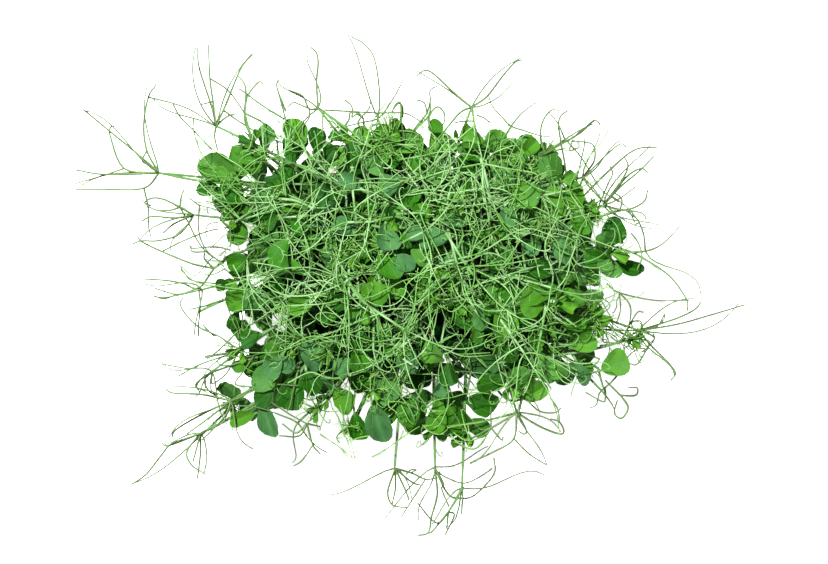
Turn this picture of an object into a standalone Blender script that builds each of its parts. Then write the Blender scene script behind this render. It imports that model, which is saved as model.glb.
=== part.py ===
"""Pea microgreens: a block of semi-leafless pea shoots on the bed of sprouted peas that they grew from.

Metres, +Z up. The origin is the middle of the block's flat underside.
"""

import math
import random

import bpy
from mathutils import Vector
from mathutils.bvhtree import BVHTree

MM = 0.001

# The block that the shoots stand in
BED_LENGTH = 175 * MM
BED_WIDTH = 130 * MM
BED_CORNER = 0.25
MAT_FOOT_SCALE = 0.93
MAT_HEIGHT = 14 * MM
MAT_STEPS = (8, 6)
PART_GAP = 0.3 * MM
BED_VALLEY = 20.5 * MM
BED_PEAK = 24.5 * MM
BED_STEPS = (16, 12)
HOLE_RADIUS = 2.3 * MM
HOLE_FLOOR = 16 * MM

# The shoots
SEED = 40
COLUMNS = 8
ROWS = 5
ROOT_SPREAD = 0.92
ROOT_JITTER = 3 * MM
STEM_FOOT = 16.5 * MM
STEM_STRAIGHT = 12 * MM
STEM_RADII = (1.3 * MM, 1.1 * MM)
STALK_RADII = (1.05 * MM, 0.9 * MM)
THREAD_RADII = (0.75 * MM, 0.5 * MM)
LONG_THREAD = 44 * MM
LONG_THREAD_SEGMENTS = 4
SHORT_THREAD_SEGMENTS = 3
NODE_PLACES = (0.25, 0.47, 0.69, 0.9)
NODE_SIZES = (0.82, 1.0, 0.95, 0.88)
LOWEST_LEAF = 2
NODE_HEIGHT = 1.0 * MM
HUB_LENGTH = 1.2 * MM
BLADE_THICKNESS = 0.8 * MM
BLADE_WIDTH_SHARE = 0.86
STIPULE_LENGTH = (20 * MM, 27 * MM)
MOST_SHRINK = 0.6
BUD_LENGTH = 8 * MM
BUD_RADIUS = 2.2 * MM
TENDRILS = 3
STEEPEST_LEAF = math.radians(26)
STALK_YAW = 0.25
STIPULE_YAW = 0.15
CLEARANCE = 0.35 * MM
GUARD_SIDES = 6
STALK_TRIM = 0.07
THREAD_TRIM = 0.2
STIPULE_TRIM = 2.9 * MM
GUARD_WIDENING = 1 / math.cos(math.pi / GUARD_SIDES)
TRIES = 100

# The ranges that the seeded rule draws from
LEANING_STEM_REACH = (0.56, 0.74)
LEANING_STEM_LIFT = (-8 * MM, 10 * MM)
LEANING_STEM_RISE = (1.2, 2.2)
STEM_SWAY = (8 * MM, 34 * MM)
STEM_HEIGHT = (92 * MM, 120 * MM)
STEM_SLANT = (0.2, 0.9)
OUTWARD_PULL = 18
FOOT_ARM = 0.5
TIP_ARM = 0.36
STIPULE_UPRIGHTNESS = 0.8
STIPULE_SLANT = (-0.1, 0.35)
STIPULE_RISE = (-0.1, 0.65)
STIPULE_RISE_FREEDOM = (-0.5, 0.4)
STIPULE_DROOP = (0.0, 0.35)
STIPULE_CUP = 0.12
STALK_RISE = (0.3, 1.1)
STALK_LENGTH = (28 * MM, 48 * MM)
STALK_BOW = (0.02, 0.14)
STALK_LOOSENESS = 0.15 * MM
HIGHEST_HUB = 148 * MM
THREAD_SWING = (0.5, 2.1)
FIRST_THREAD_SWING = 0.6
THREAD_RISE = (-0.35, 0.45)
THREAD_LENGTH = (26 * MM, 56 * MM)
THREAD_LOOSENESS = (1.5 * MM, 0.15 * MM)
THREAD_TIP_LIFT = (-22 * MM, 16 * MM)
THREAD_HEIGHTS = (30 * MM, 156 * MM)
THREAD_ARMS = (0.4, 0.3)
THREAD_BEND = 0.28
LEAST_OUTWARD = 0.3

# One stipule's edge, from its root's front round its tip to its root's back, as shares of its length:
# out from the shoot, then towards the leaf's side
LOBE = ((0.0, 0.05), (0.36, 0.42), (0.90, 0.43), (1.0, -0.10), (0.58, -0.47), (0.0, -0.05))
LOBE_FOLDS = ((0, 1, 5), (1, 4, 5), (1, 2, 4), (2, 3, 4))

# The shoots that lean out past the rest: the column and row of the root, then in millimetres
# where the top leaf's stalk ends and where its longest tendrils reach in plan
LEANING = {
    (0, 0): ((-148, -115, 74), ((-190, -147), (-147, -142), (-172, -121))),
    (0, 1): ((-139, -73, 84), ((-172, -68), (-152, -92))),
    (0, 2): ((-145, -19, 88), ((-184, -13), (-176, -24), (-147, -50))),
    (0, 3): ((-150, 30, 92), ((-187, 13), (-183, 40), (-168, 8))),
    (0, 4): ((-174, 58, 84), ((-223, 99), (-227, 50), (-178, 113))),
    (1, 0): ((-126, -92, 88), ((-169, -83), (-164, -116))),
    (1, 4): ((-135, 88, 94), ((-148, 139), (-112, 136), (-179, 107))),
    (2, 0): ((-76, -107, 90), ((-86, -134), (-62, -126))),
    (2, 4): ((-68, 99, 98), ((-73, 140), (-92, 116))),
    (3, 0): ((-18, -138, 78), ((-20, -162), (-7, -160))),
    (3, 4): ((-29, 92, 100), ((-48, 147), (-14, 118))),
    (4, 0): ((8, -138, 68), ((-2, -178), (46, -127))),
    (4, 4): ((32, 100, 96), ((-4, 125), (65, 132))),
    (5, 0): ((26, -150, 84), ((14, -180), (6, -172))),
    (5, 4): ((58, 88, 92), ((44, 108), (76, 106))),
    (6, 0): ((62, -100, 88), ((30, -131), (80, -133), (90, -112))),
    (6, 4): ((94, 80, 86), ((114, 92), (86, 100))),
    (7, 0): ((124, -82, 80), ((130, -102), (112, -96))),
    (7, 1): ((143, -46, 84), ((211, -29), (180, -24), (164, -75))),
    (7, 2): ((146, 6, 92), ((180, -22), (168, 24))),
    (7, 3): ((118, 36, 96), ((150, 75), (143, 50))),
    (7, 4): ((104, 54, 100), ((129, 78), (118, 92))),
}


def draw(*name):
    """A seeded source of random numbers, one for each named piece and try."""
    return random.Random(" ".join(str(word) for word in (SEED, *name)))


def between(source, low, high):
    return low + (high - low) * source.random()


def bed_point(u, v, scale, z):
    """A point of the block's plan, where u and v run from -1 to 1: a rectangle with soft corners."""
    x = 0.5 * BED_LENGTH * scale * u * math.sqrt(1 - BED_CORNER * v * v / 2)
    y = 0.5 * BED_WIDTH * scale * v * math.sqrt(1 - BED_CORNER * u * u / 2)
    return Vector((x, y, z))


def add_object(name, points, faces, colour, collection=None):
    mesh = bpy.data.meshes.new(name)
    mesh.from_pydata(points, [], faces)
    mesh.update()
    obj = bpy.data.objects.new(name, mesh)
    (collection or bpy.context.scene.collection).objects.link(obj)
    if colour:
        mesh.materials.append(colour)
    return obj


def material(name, colour, roughness):
    made = bpy.data.materials.new(name)
    made.use_nodes = True
    shader = made.node_tree.nodes["Principled BSDF"]
    shader.inputs["Base Color"].default_value = (*colour, 1)
    shader.inputs["Roughness"].default_value = roughness
    shader.inputs["Metallic"].default_value = 0
    return made


# The rule that places every piece of a shoot. A course is the four control points of a curve.


def curve_point(course, t):
    a, b, c, d = course
    s = 1 - t
    return a * s**3 + b * 3 * s * s * t + c * 3 * s * t * t + d * t**3


def is_leaning(cell, order):
    """Whether a leaf is the one that a leaning shoot holds out."""
    return cell in LEANING and order == len(NODE_PLACES) - 1


def root_of(cell):
    """Where a shoot leaves the seed bed."""
    column, row = cell
    source = draw("root", column, row)
    u = ROOT_SPREAD * (2 * (column + 0.5) / COLUMNS - 1)
    v = ROOT_SPREAD * (2 * (row + 0.5) / ROWS - 1)
    place = bed_point(u, v, 1, STEM_FOOT)
    place.x += between(source, -1, 1) * ROOT_JITTER
    place.y += between(source, -1, 1) * ROOT_JITTER
    return place


def front_of(cell):
    """The level direction that a shoot's top leaf faces."""
    if cell in LEANING:
        front = Vector(LEANING[cell][0]) * MM - root_of(cell)
        front.z = 0
        return front.normalized()
    turn = between(draw("front", *cell), 0, 2 * math.pi)
    return Vector((math.cos(turn), math.sin(turn), 0))


def stem_course(cell, attempt):
    """A stem above its straight foot."""
    source = draw("stem", *cell, attempt)
    foot = root_of(cell) + Vector((0, 0, STEM_STRAIGHT))
    if cell in LEANING:
        hub = Vector(LEANING[cell][0]) * MM
        out = Vector((hub.x - foot.x, hub.y - foot.y, 0))
        reach = out.length
        out.normalize()
        tip = foot + out * reach * between(source, *LEANING_STEM_REACH)
        tip.z = hub.z + between(source, *LEANING_STEM_LIFT)
        lean = (out + Vector((0, 0, between(source, *LEANING_STEM_RISE)))).normalized()
    else:
        turn = between(source, 0, 2 * math.pi)
        sway = Vector((math.cos(turn), math.sin(turn), 0))
        out = (sway + Vector((foot.x, foot.y, 0)) * OUTWARD_PULL).normalized()
        tip = foot + out * between(source, *STEM_SWAY)
        tip.z = between(source, *STEM_HEIGHT)
        lean = (out * between(source, *STEM_SLANT) + Vector((0, 0, 1))).normalized()
    rise = tip.z - foot.z
    reach = (tip - foot).length
    return foot, foot + Vector((0, 0, rise * FOOT_ARM)), tip - lean * reach * TIP_ARM, tip


def node_of(stem, order):
    """A leaf node's place on the stem, and the stem's direction there."""
    t = NODE_PLACES[order]
    return curve_point(stem, t), (curve_point(stem, t + 0.05) - curve_point(stem, t - 0.05)).normalized()


def leaf_side(cell, order, source, most_yaw):
    """The level direction that a leaf faces: by turns the shoot's front and its back."""
    yaw = between(source, -most_yaw, most_yaw)
    front = front_of(cell) * facing(order)
    side = Vector((-front.y, front.x, 0))
    return front * math.cos(yaw) + side * math.sin(yaw)


def facing(order):
    return 1 if (len(NODE_PLACES) - 1 - order) % 2 == 0 else -1


def stipule_at(cell, stem, order, hand, attempt):
    """One stipule: its place, stem direction, leaf side, hand, length, rise and droop."""
    source = draw("stipule", *cell, order, hand, attempt)
    freedom = attempt / TRIES
    place, up = node_of(stem, order)
    side = leaf_side(cell, order, source, STIPULE_YAW)
    up = (up + Vector((0, 0, STIPULE_UPRIGHTNESS)) + side * between(source, *STIPULE_SLANT)).normalized()
    length = between(source, *STIPULE_LENGTH) * NODE_SIZES[order] * (1 - MOST_SHRINK * freedom)
    lowest, highest = (a + b * freedom for a, b in zip(STIPULE_RISE, STIPULE_RISE_FREEDOM))
    rise = between(source, lowest, highest)
    droop = between(source, *STIPULE_DROOP)
    return place, up, side, hand, length, rise, droop


def stalk_course(cell, stem, order, attempt):
    """A leaf stalk, from inside the stem to where its tendrils part, or None if it hugs the stem."""
    source = draw("stalk", *cell, order, attempt)
    start, up = node_of(stem, order)
    if is_leaning(cell, order):
        end = Vector(LEANING[cell][0]) * MM
        end += Vector([between(source, -1, 1) * attempt * STALK_LOOSENESS for _ in range(3)])
    else:
        side = leaf_side(cell, order, source, STALK_YAW)
        way = (side + Vector((0, 0, between(source, *STALK_RISE)))).normalized()
        end = start + way * between(source, *STALK_LENGTH)
        end.z = min(end.z, HIGHEST_HUB)
    reach = (end - start).length
    bow = Vector((0, 0, reach * between(source, *STALK_BOW)))
    course = (start, start.lerp(end, 0.33) + bow, start.lerp(end, 0.67) + bow, end)
    if (curve_point(course, 0.5) - start).angle(up) < STEEPEST_LEAF:
        return None
    return course


def hub_directions(cell, order, stalk):
    """For each tendril of a leaf, the side of the hub that it leaves, and its tip if that is set."""
    way = (stalk[3] - stalk[2]).normalized()
    right = way.cross(Vector((0, 0, 1))).normalized()
    tips = []
    if is_leaning(cell, order):
        tips = [Vector((x * MM, y * MM, stalk[3].z)) - stalk[3] for x, y in LEANING[cell][1]]
        tips.sort(key=lambda tip: tip.angle(way))
        tips[1:] = tips[:0:-1]
    free = [right, -right, right.cross(way)]
    found = [(way, tips[0] if tips else None)]
    for index in range(1, TENDRILS):
        tip = tips[index] if index < len(tips) else None
        side = max(free, key=lambda direction: direction.dot(tip)) if tip else free[0]
        free.remove(side)
        found.append((side, tip))
    return found


def thread_course(cell, order, stalk, index, attempt):
    """A tendril, or None if it folds back over its hub. The first carries on from the stalk."""
    source = draw("thread", *cell, order, index, attempt)
    way = (stalk[3] - stalk[2]).normalized()
    side, aim = hub_directions(cell, order, stalk)[index]
    start = stalk[3].copy()
    if aim:
        loose = THREAD_LOOSENESS[0] + THREAD_LOOSENESS[1] * attempt
        tip = start + aim
        tip.x += between(source, -1, 1) * loose
        tip.y += between(source, -1, 1) * loose
        tip.z += between(source, *THREAD_TIP_LIFT)
    else:
        swing = between(source, *THREAD_SWING)
        across = side
        if index == 0:
            across = way.cross(Vector((0, 0, 1)))
            swing = between(source, -FIRST_THREAD_SWING, FIRST_THREAD_SWING)
        heading = way * math.cos(swing) + across * math.sin(swing)
        heading.z = between(source, *THREAD_RISE)
        tip = start + heading.normalized() * between(source, *THREAD_LENGTH)
    tip.z = min(max(tip.z, THREAD_HEIGHTS[0]), THREAD_HEIGHTS[1])
    reach = (tip - start).length
    heading = (tip - start).normalized()
    bend = Vector([between(source, -1, 1) for _ in range(3)])
    bend = bend - heading * bend.dot(heading)
    away = way
    if index > 0:
        away = (side + way * 0.5).normalized()
        start += side * STALK_RADII[1] * 0.7 - way * HUB_LENGTH * 0.5
    first = start + (away + heading * 0.4).normalized() * reach * THREAD_ARMS[0]
    second = tip - heading * reach * THREAD_ARMS[1] + bend * reach * THREAD_BEND
    course = (start, first, second, tip)
    if (thread_path(course)[1] - start).normalized().dot(side) < LEAST_OUTWARD:
        return None
    return course


def path_of(course, count):
    return [curve_point(course, i / count) for i in range(count + 1)]


def bud_path(stem):
    """The widest place of the tip bud, and its point."""
    way = (stem[3] - stem[2]).normalized() * BUD_LENGTH
    return [stem[3] + way * 0.4, stem[3] + way]


def thread_path(course):
    reach = (course[3] - course[0]).length
    return path_of(course, LONG_THREAD_SEGMENTS if reach > LONG_THREAD else SHORT_THREAD_SEGMENTS)


# Keeping the pieces clear of each other


def guard_tube(path, radii, extra, trim=0):
    """A tube round a piece however that is turned, without the first part of its first stretch."""
    path = [path[0].lerp(path[1], trim)] + path[1:]
    radii = [(radius + extra) * GUARD_WIDENING for radius in radii]
    body = Body()
    across = (path[1] - path[0]).orthogonal()
    first = body.add_ring(path[0], path[1] - path[0], across, radii[0], GUARD_SIDES)
    body.faces.append(tuple(reversed(first)))
    last = body.grow(first, path[1:], radii[1:])
    body.faces.append(tuple(last))
    return body.points, body.faces


def guard_stem(cell, stem, extra):
    path = [root_of(cell)] + path_of(stem, 5) + bud_path(stem)
    radii = [STEM_RADII[0]] * (len(path) - 2) + [BUD_RADIUS, STEM_RADII[1]]
    return guard_tube(path, radii, extra)


def guard_stalk(stalk, extra, is_trimmed):
    path = path_of(stalk, 2)
    return guard_tube(path, [STALK_RADII[0]] * len(path), extra, STALK_TRIM if is_trimmed else 0)


def guard_thread(thread, extra, is_trimmed):
    path = thread_path(thread)
    return guard_tube(path, [THREAD_RADII[0]] * len(path), extra, THREAD_TRIM if is_trimmed else 0)


def stipule_rim(place, up, side, hand, length, rise, droop, extra=0.0, trim=0.0):
    """The middle line of a stipule's edge, and the direction of its thickness."""
    front = (side - up * side.dot(up)).normalized()
    outward = up.cross(front) * hand
    rim = []
    for u, v in LOBE:
        u = max(u, trim / length)
        over = u * length + math.copysign(extra, u - 0.25)
        along = v * length * BLADE_WIDTH_SHARE + math.copysign(extra, v)
        lift = length * (u * math.sin(rise) - droop * u * u + STIPULE_CUP * abs(v))
        rim.append(place + outward * over * math.cos(rise) + front * along + up * lift)
    return rim, up


def guard_stipule(placed, extra, is_trimmed):
    rim, up = stipule_rim(*placed, extra, STIPULE_TRIM if is_trimmed else 0)
    body = Body()
    half = up * (0.5 * BLADE_THICKNESS + extra)
    top = body.add_points([p + half for p in rim])
    low = body.add_points([p - half for p in rim])
    body.add_blade(top, low, placed[3], is_rooted=False)
    return body.points, body.faces


def extent(points):
    """The lowest and highest corner of the box round some points."""
    low = Vector([min(p[k] for p in points) for k in range(3)])
    high = Vector([max(p[k] for p in points) for k in range(3)])
    return low, high


class Guard:
    """A solid that stands in for a piece when another is tested against it."""

    def __init__(self, shape):
        self.low, self.high = extent(shape[0])
        self.tree = BVHTree.FromPolygons(*shape)

    def meets(self, other):
        if any(self.low[k] > other.high[k] or self.high[k] < other.low[k] for k in range(3)):
            return False
        return bool(self.tree.overlap(other.tree))


class Thicket:
    """The pieces placed so far: each one's course, by its name, and its guards with and without its root."""

    def __init__(self):
        self.courses = {}
        self.standing = []

    def is_clear(self, piece, touching, whole, rootless):
        """Whether a piece is clear of all others, or clear beyond its root of those of its own shoot."""
        for other, other_whole, other_rootless in self.standing:
            if other[1] != piece[1]:
                if whole.meets(other_whole):
                    return False
            elif other not in touching and rootless.meets(other_rootless):
                return False
        return True

    def place(self, piece, touching, course_of, shape_of):
        """Adds a piece on the first of its tries that is clear."""
        for attempt in range(TRIES):
            course = course_of(attempt)
            if not course:
                continue
            wide = [Guard(shape_of(course, CLEARANCE, is_trimmed)) for is_trimmed in (False, True)]
            if self.is_clear(piece, touching, *wide):
                real = [Guard(shape_of(course, 0.0, is_trimmed)) for is_trimmed in (False, True)]
                self.courses[piece] = course
                self.standing.append((piece, *real))
                return
        print("left out for want of room:", *piece)


def plan_shoots(cells):
    """The course of every piece of every shoot, by its name."""
    orders = range(len(NODE_PLACES))
    thicket = Thicket()
    courses = thicket.courses
    for cell in cells:
        thicket.place(
            ("stem", cell),
            (),
            lambda attempt: stem_course(cell, attempt),
            lambda stem, extra, is_trimmed: guard_stem(cell, stem, extra),
        )
    for order in reversed(orders[LOWEST_LEAF:]):
        for cell in cells:
            thicket.place(
                ("stalk", cell, order),
                (("stem", cell),),
                lambda attempt: stalk_course(cell, courses["stem", cell], order, attempt),
                guard_stalk,
            )
    for order in reversed(orders):
        for cell in cells:
            for hand in (1, -1):
                thicket.place(
                    ("stipule", cell, order, hand),
                    (),
                    lambda attempt: stipule_at(cell, courses["stem", cell], order, hand, attempt),
                    guard_stipule,
                )
    for order in reversed(orders[LOWEST_LEAF:]):
        for cell in cells:
            stalk = courses.get(("stalk", cell, order))
            if not stalk:
                continue
            for index in range(TENDRILS):
                thicket.place(
                    ("thread", cell, order, index),
                    (("stalk", cell, order),),
                    lambda attempt: thread_course(cell, order, stalk, index, attempt),
                    guard_thread,
                )
    return courses


# The shoots' solids


class Body:
    """One closed surface that is grown face by face, so that every piece is part of the same body."""

    def __init__(self):
        self.points = []
        self.faces = []

    def add_points(self, points):
        first = len(self.points)
        self.points += points
        return list(range(first, len(self.points)))

    def add_ring(self, centre, along, across, radius, sides=4):
        """Corners round a centre, anticlockwise about the direction of growth."""
        along = along.normalized()
        across = (across - along * across.dot(along)).normalized()
        third = along.cross(across)
        points = []
        for k in range(sides):
            turn = 2 * math.pi * k / sides
            points.append(centre + (across * math.cos(turn) + third * math.sin(turn)) * radius)
        return self.add_points(points)

    def join(self, ring, following, skipped=()):
        """The sides between two rings, less those that something grows from."""
        count = len(ring)
        for k in range(count):
            if k not in skipped:
                n = (k + 1) % count
                self.faces.append((ring[k], ring[n], following[n], following[k]))

    def grow(self, root, path, radii):
        """Rings along a path that carries on from a root ring, and the last of them."""
        ring = root
        points = self.points
        before = sum((points[k] for k in root), Vector()) / len(root)
        across = points[root[0]] - before
        for i, (centre, radius) in enumerate(zip(path, radii)):
            after = path[i + 1] if i + 1 < len(path) else centre
            along = (after - centre).normalized() + (centre - before).normalized()
            following = self.add_ring(centre, along, across, radius, len(root))
            self.join(ring, following)
            across = points[following[0]] - centre
            before = centre
            ring = following
        return ring

    def close_to(self, ring, apex):
        (top,) = self.add_points([apex])
        for k in range(len(ring)):
            self.faces.append((ring[k], ring[(k + 1) % len(ring)], top))

    def side(self, lower, upper, k):
        """The four corners of a side between two rings, anticlockwise from outside."""
        n = (k + 1) % len(lower)
        return [lower[k], lower[n], upper[n], upper[k]]

    def add_blade(self, top, low, hand, is_rooted):
        """A thin blade between two like rims, either of which may be open at the root."""
        count = len(top)
        for fold in LOBE_FOLDS:
            corners = fold if hand > 0 else tuple(reversed(fold))
            self.faces.append(tuple(top[k] for k in corners))
            self.faces.append(tuple(low[k] for k in reversed(corners)))
        for a in range(count - 1 if is_rooted else count):
            b = (a + 1) % count
            if hand < 0:
                a, b = b, a
            self.faces.append((top[a], low[a], low[b]))
            self.faces.append((top[a], low[b], top[b]))


def tapered(radii, count):
    return [radii[0] + (radii[1] - radii[0]) * i / max(1, count - 1) for i in range(count)]


def grow_thread(body, root, course):
    """A tendril from four corners of its hub to its pointed tip."""
    path = thread_path(course)
    ring = body.grow(root, path[1:-1], tapered(THREAD_RADII, len(path) - 2))
    body.close_to(ring, path[-1])


def grow_leaf(body, root, courses, cell, order):
    """A leaf stalk and its tendrils, from four corners on the stem."""
    stalk = courses["stalk", cell, order]
    way = (stalk[3] - stalk[2]).normalized()
    middle = curve_point(stalk, 0.5)
    lower = body.grow(root, [middle, stalk[3] - way * HUB_LENGTH], STALK_RADII)
    across = body.points[lower[0]] - stalk[3] + way * HUB_LENGTH
    upper = body.add_ring(stalk[3], way, across, STALK_RADII[1])
    open_sides = []
    for index, (side, _) in enumerate(hub_directions(cell, order, stalk)):
        thread = courses.get(("thread", cell, order, index))
        if thread and index > 0:
            k = max(range(4), key=lambda n: side_direction(body, lower, upper, n).dot(side))
            open_sides.append(k)
            grow_thread(body, body.side(lower, upper, k), thread)
    body.join(lower, upper, open_sides)
    first = courses.get(("thread", cell, order, 0))
    if first:
        grow_thread(body, upper, first)
    else:
        body.close_to(upper, stalk[3] + way * HUB_LENGTH)


def side_direction(body, lower, upper, k):
    """The way that one side between two rings faces."""
    corners = [body.points[n] for n in body.side(lower, upper, k)]
    middle = sum(corners, Vector()) / 4
    centre = sum((body.points[n] for n in lower + upper), Vector()) / 8
    return (middle - centre).normalized()


def shoot_body(courses, cell):
    """One shoot: its stem, stipules, leaf stalks, tendrils and tip bud."""
    stem = courses["stem", cell]
    front = front_of(cell)
    corner = front + Vector((0, 0, 1)).cross(front)
    body = Body()
    ring = body.add_ring(root_of(cell), Vector((0, 0, 1)), corner, STEM_RADII[0])
    body.faces.append(tuple(reversed(ring)))
    radii = tapered(STEM_RADII, len(NODE_PLACES) + 2)
    ring = body.grow(ring, [stem[0]], radii[:1])
    for order in range(len(NODE_PLACES)):
        place, along = node_of(stem, order)
        radius = radii[order + 1]
        across = front - along * front.dot(along)
        across = across.normalized() + along.cross(across).normalized()
        lower = body.add_ring(place - along * NODE_HEIGHT / 2, along, across, radius)
        upper = body.add_ring(place + along * NODE_HEIGHT / 2, along, across, radius)
        body.join(ring, lower)
        open_sides = []
        for hand in (1, -1):
            placed = courses.get(("stipule", cell, order, hand))
            if placed:
                k = 0 if facing(order) * hand > 0 else 2
                open_sides.append(k)
                add_stipule(body, body.side(lower, upper, k), placed)
        if ("stalk", cell, order) in courses:
            k = 3 if facing(order) > 0 else 1
            open_sides.append(k)
            grow_leaf(body, body.side(lower, upper, k), courses, cell, order)
        body.join(lower, upper, open_sides)
        ring = upper
    widest, tip = bud_path(stem)
    ring = body.grow(ring, [stem[3], widest], [radii[-1], BUD_RADIUS])
    body.close_to(ring, tip)
    return body


def add_stipule(body, root, placed):
    """A stipule whose root is one side of the stem, in place of that side's face."""
    rim, up = stipule_rim(*placed)
    half = up * 0.5 * BLADE_THICKNESS
    top = body.add_points([p + half for p in rim[1:-1]])
    low = body.add_points([p - half for p in rim[1:-1]])
    first_low, last_low, last_top, first_top = root
    if placed[3] > 0:
        top = [first_top] + top + [last_top]
        low = [first_low] + low + [last_low]
    else:
        top = [last_top] + top + [first_top]
        low = [last_low] + low + [first_low]
    body.add_blade(top, low, placed[3], is_rooted=True)


def cut_away(base, cutters):
    """Cuts all of a collection out of a solid, and removes the collection."""
    boolean = base.modifiers.new("cut", "BOOLEAN")
    boolean.operation = "DIFFERENCE"
    boolean.operand_type = "COLLECTION"
    boolean.collection = cutters
    boolean.solver = "EXACT"
    bpy.context.view_layer.objects.active = base
    bpy.ops.object.modifier_apply(modifier=boolean.name)
    for obj in list(cutters.objects):
        bpy.data.objects.remove(obj)
    bpy.data.collections.remove(cutters)


# The block


def ring(steps, scale, z):
    """Points round the block's plan, anticlockwise from above."""
    nu, nv = steps
    edge = [(2 * i / nu - 1, -1) for i in range(nu)]
    edge += [(1, 2 * j / nv - 1) for j in range(nv)]
    edge += [(1 - 2 * i / nu, 1) for i in range(nu)]
    edge += [(-1, 1 - 2 * j / nv) for j in range(nv)]
    return [bed_point(u, v, scale, z) for u, v in edge]


def add_root_mat(colour):
    """The felt of roots, with the taper of the box that it grew in."""
    foot = ring(MAT_STEPS, MAT_FOOT_SCALE, 0)
    top = ring(MAT_STEPS, 1, MAT_HEIGHT)
    count = len(foot)
    faces = [(i, (i + 1) % count, (i + 1) % count + count, i + count) for i in range(count)]
    faces.append(tuple(reversed(range(count))))
    faces.append(tuple(range(count, 2 * count)))
    add_object("root_mat", foot + top, faces, colour)


def add_seed_bed(cells, colour):
    """The layer of sprouted peas: its top peaks over each one, and it has a plain hole for each stem."""
    nu, nv = BED_STEPS
    points = []
    index = {}
    for j in range(nv + 1):
        for i in range(nu + 1):
            index[i, j] = len(points)
            height = BED_PEAK if (i + j) % 2 == 0 else BED_VALLEY
            points.append(bed_point(2 * i / nu - 1, 2 * j / nv - 1, 1, height))
    faces = []
    for j in range(nv):
        for i in range(nu):
            a, b, c, d = index[i, j], index[i + 1, j], index[i + 1, j + 1], index[i, j + 1]
            if (i + j) % 2 == 0:
                faces += [(a, b, d), (b, c, d)]
            else:
                faces += [(a, b, c), (a, c, d)]
    rim = [index[i, 0] for i in range(nu)] + [index[nu, j] for j in range(nv)]
    rim += [index[i, nv] for i in range(nu, 0, -1)] + [index[0, j] for j in range(nv, 0, -1)]
    first = len(points)
    points += ring(BED_STEPS, 1, MAT_HEIGHT + PART_GAP)
    count = len(rim)
    for k in range(count):
        n = (k + 1) % count
        faces.append((first + k, first + n, rim[n], rim[k]))
    faces.append(tuple(first + k for k in reversed(range(count))))
    bed = add_object("seed_bed", points, faces, colour)
    holes = bpy.data.collections.new("holes")
    bpy.context.scene.collection.children.link(holes)
    for cell in cells:
        low = root_of(cell)
        low.z = HOLE_FLOOR
        high = Vector((low.x, low.y, 2 * BED_PEAK))
        hole = Body()
        foot = hole.add_ring(low, high - low, front_of(cell), HOLE_RADIUS)
        hole.faces.append(tuple(reversed(foot)))
        hole.faces.append(tuple(hole.grow(foot, [high], [HOLE_RADIUS])))
        add_object(f"hole_{cell[0]}_{cell[1]}", hole.points, hole.faces, None, holes)
    cut_away(bed, holes)


def main():
    for obj in list(bpy.data.objects):
        bpy.data.objects.remove(obj)
    roots = material("roots", (0.62, 0.52, 0.36), 0.9)
    skins = material("pea_skins", (0.42, 0.25, 0.11), 0.6)
    green = material("shoots", (0.16, 0.38, 0.10), 0.5)
    cells = [(column, row) for row in range(ROWS) for column in range(COLUMNS)]
    add_root_mat(roots)
    add_seed_bed(cells, skins)
    courses = plan_shoots(cells)
    for cell in cells:
        body = shoot_body(courses, cell)
        add_object(f"shoot_{cell[1]}_{cell[0]}", body.points, body.faces, green)


main()
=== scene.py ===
import math
import random

import bpy
from mathutils import Matrix, Quaternion, Vector, noise
from mathutils.bvhtree import BVHTree


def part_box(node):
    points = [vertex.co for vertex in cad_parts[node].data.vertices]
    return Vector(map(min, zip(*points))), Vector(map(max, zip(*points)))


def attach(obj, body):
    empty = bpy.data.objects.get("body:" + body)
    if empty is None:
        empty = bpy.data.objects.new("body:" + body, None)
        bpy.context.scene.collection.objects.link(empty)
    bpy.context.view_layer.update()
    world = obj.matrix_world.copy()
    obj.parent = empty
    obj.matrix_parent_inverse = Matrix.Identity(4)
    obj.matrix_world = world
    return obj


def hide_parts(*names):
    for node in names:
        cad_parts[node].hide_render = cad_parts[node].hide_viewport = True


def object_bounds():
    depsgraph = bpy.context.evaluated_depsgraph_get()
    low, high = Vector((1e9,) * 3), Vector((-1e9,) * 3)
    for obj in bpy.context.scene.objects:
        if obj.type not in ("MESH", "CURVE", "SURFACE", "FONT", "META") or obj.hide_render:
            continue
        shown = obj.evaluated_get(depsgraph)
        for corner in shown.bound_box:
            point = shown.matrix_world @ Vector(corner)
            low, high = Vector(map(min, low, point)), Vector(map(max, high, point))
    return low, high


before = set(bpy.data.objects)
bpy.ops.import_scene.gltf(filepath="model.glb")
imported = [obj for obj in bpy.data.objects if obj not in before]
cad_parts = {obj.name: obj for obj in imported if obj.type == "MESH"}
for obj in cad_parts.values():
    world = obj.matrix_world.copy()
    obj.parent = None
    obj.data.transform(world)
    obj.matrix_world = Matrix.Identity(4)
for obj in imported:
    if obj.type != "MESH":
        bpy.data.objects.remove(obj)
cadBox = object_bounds()
mm = 0.001
cameraPlace = Vector((-5.6 * mm, -14 * mm, 1.1))
bpy.ops.object.select_all(action="DESELECT")


# The rule that the solids stand by, so that each finer shoot follows its own solid

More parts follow.
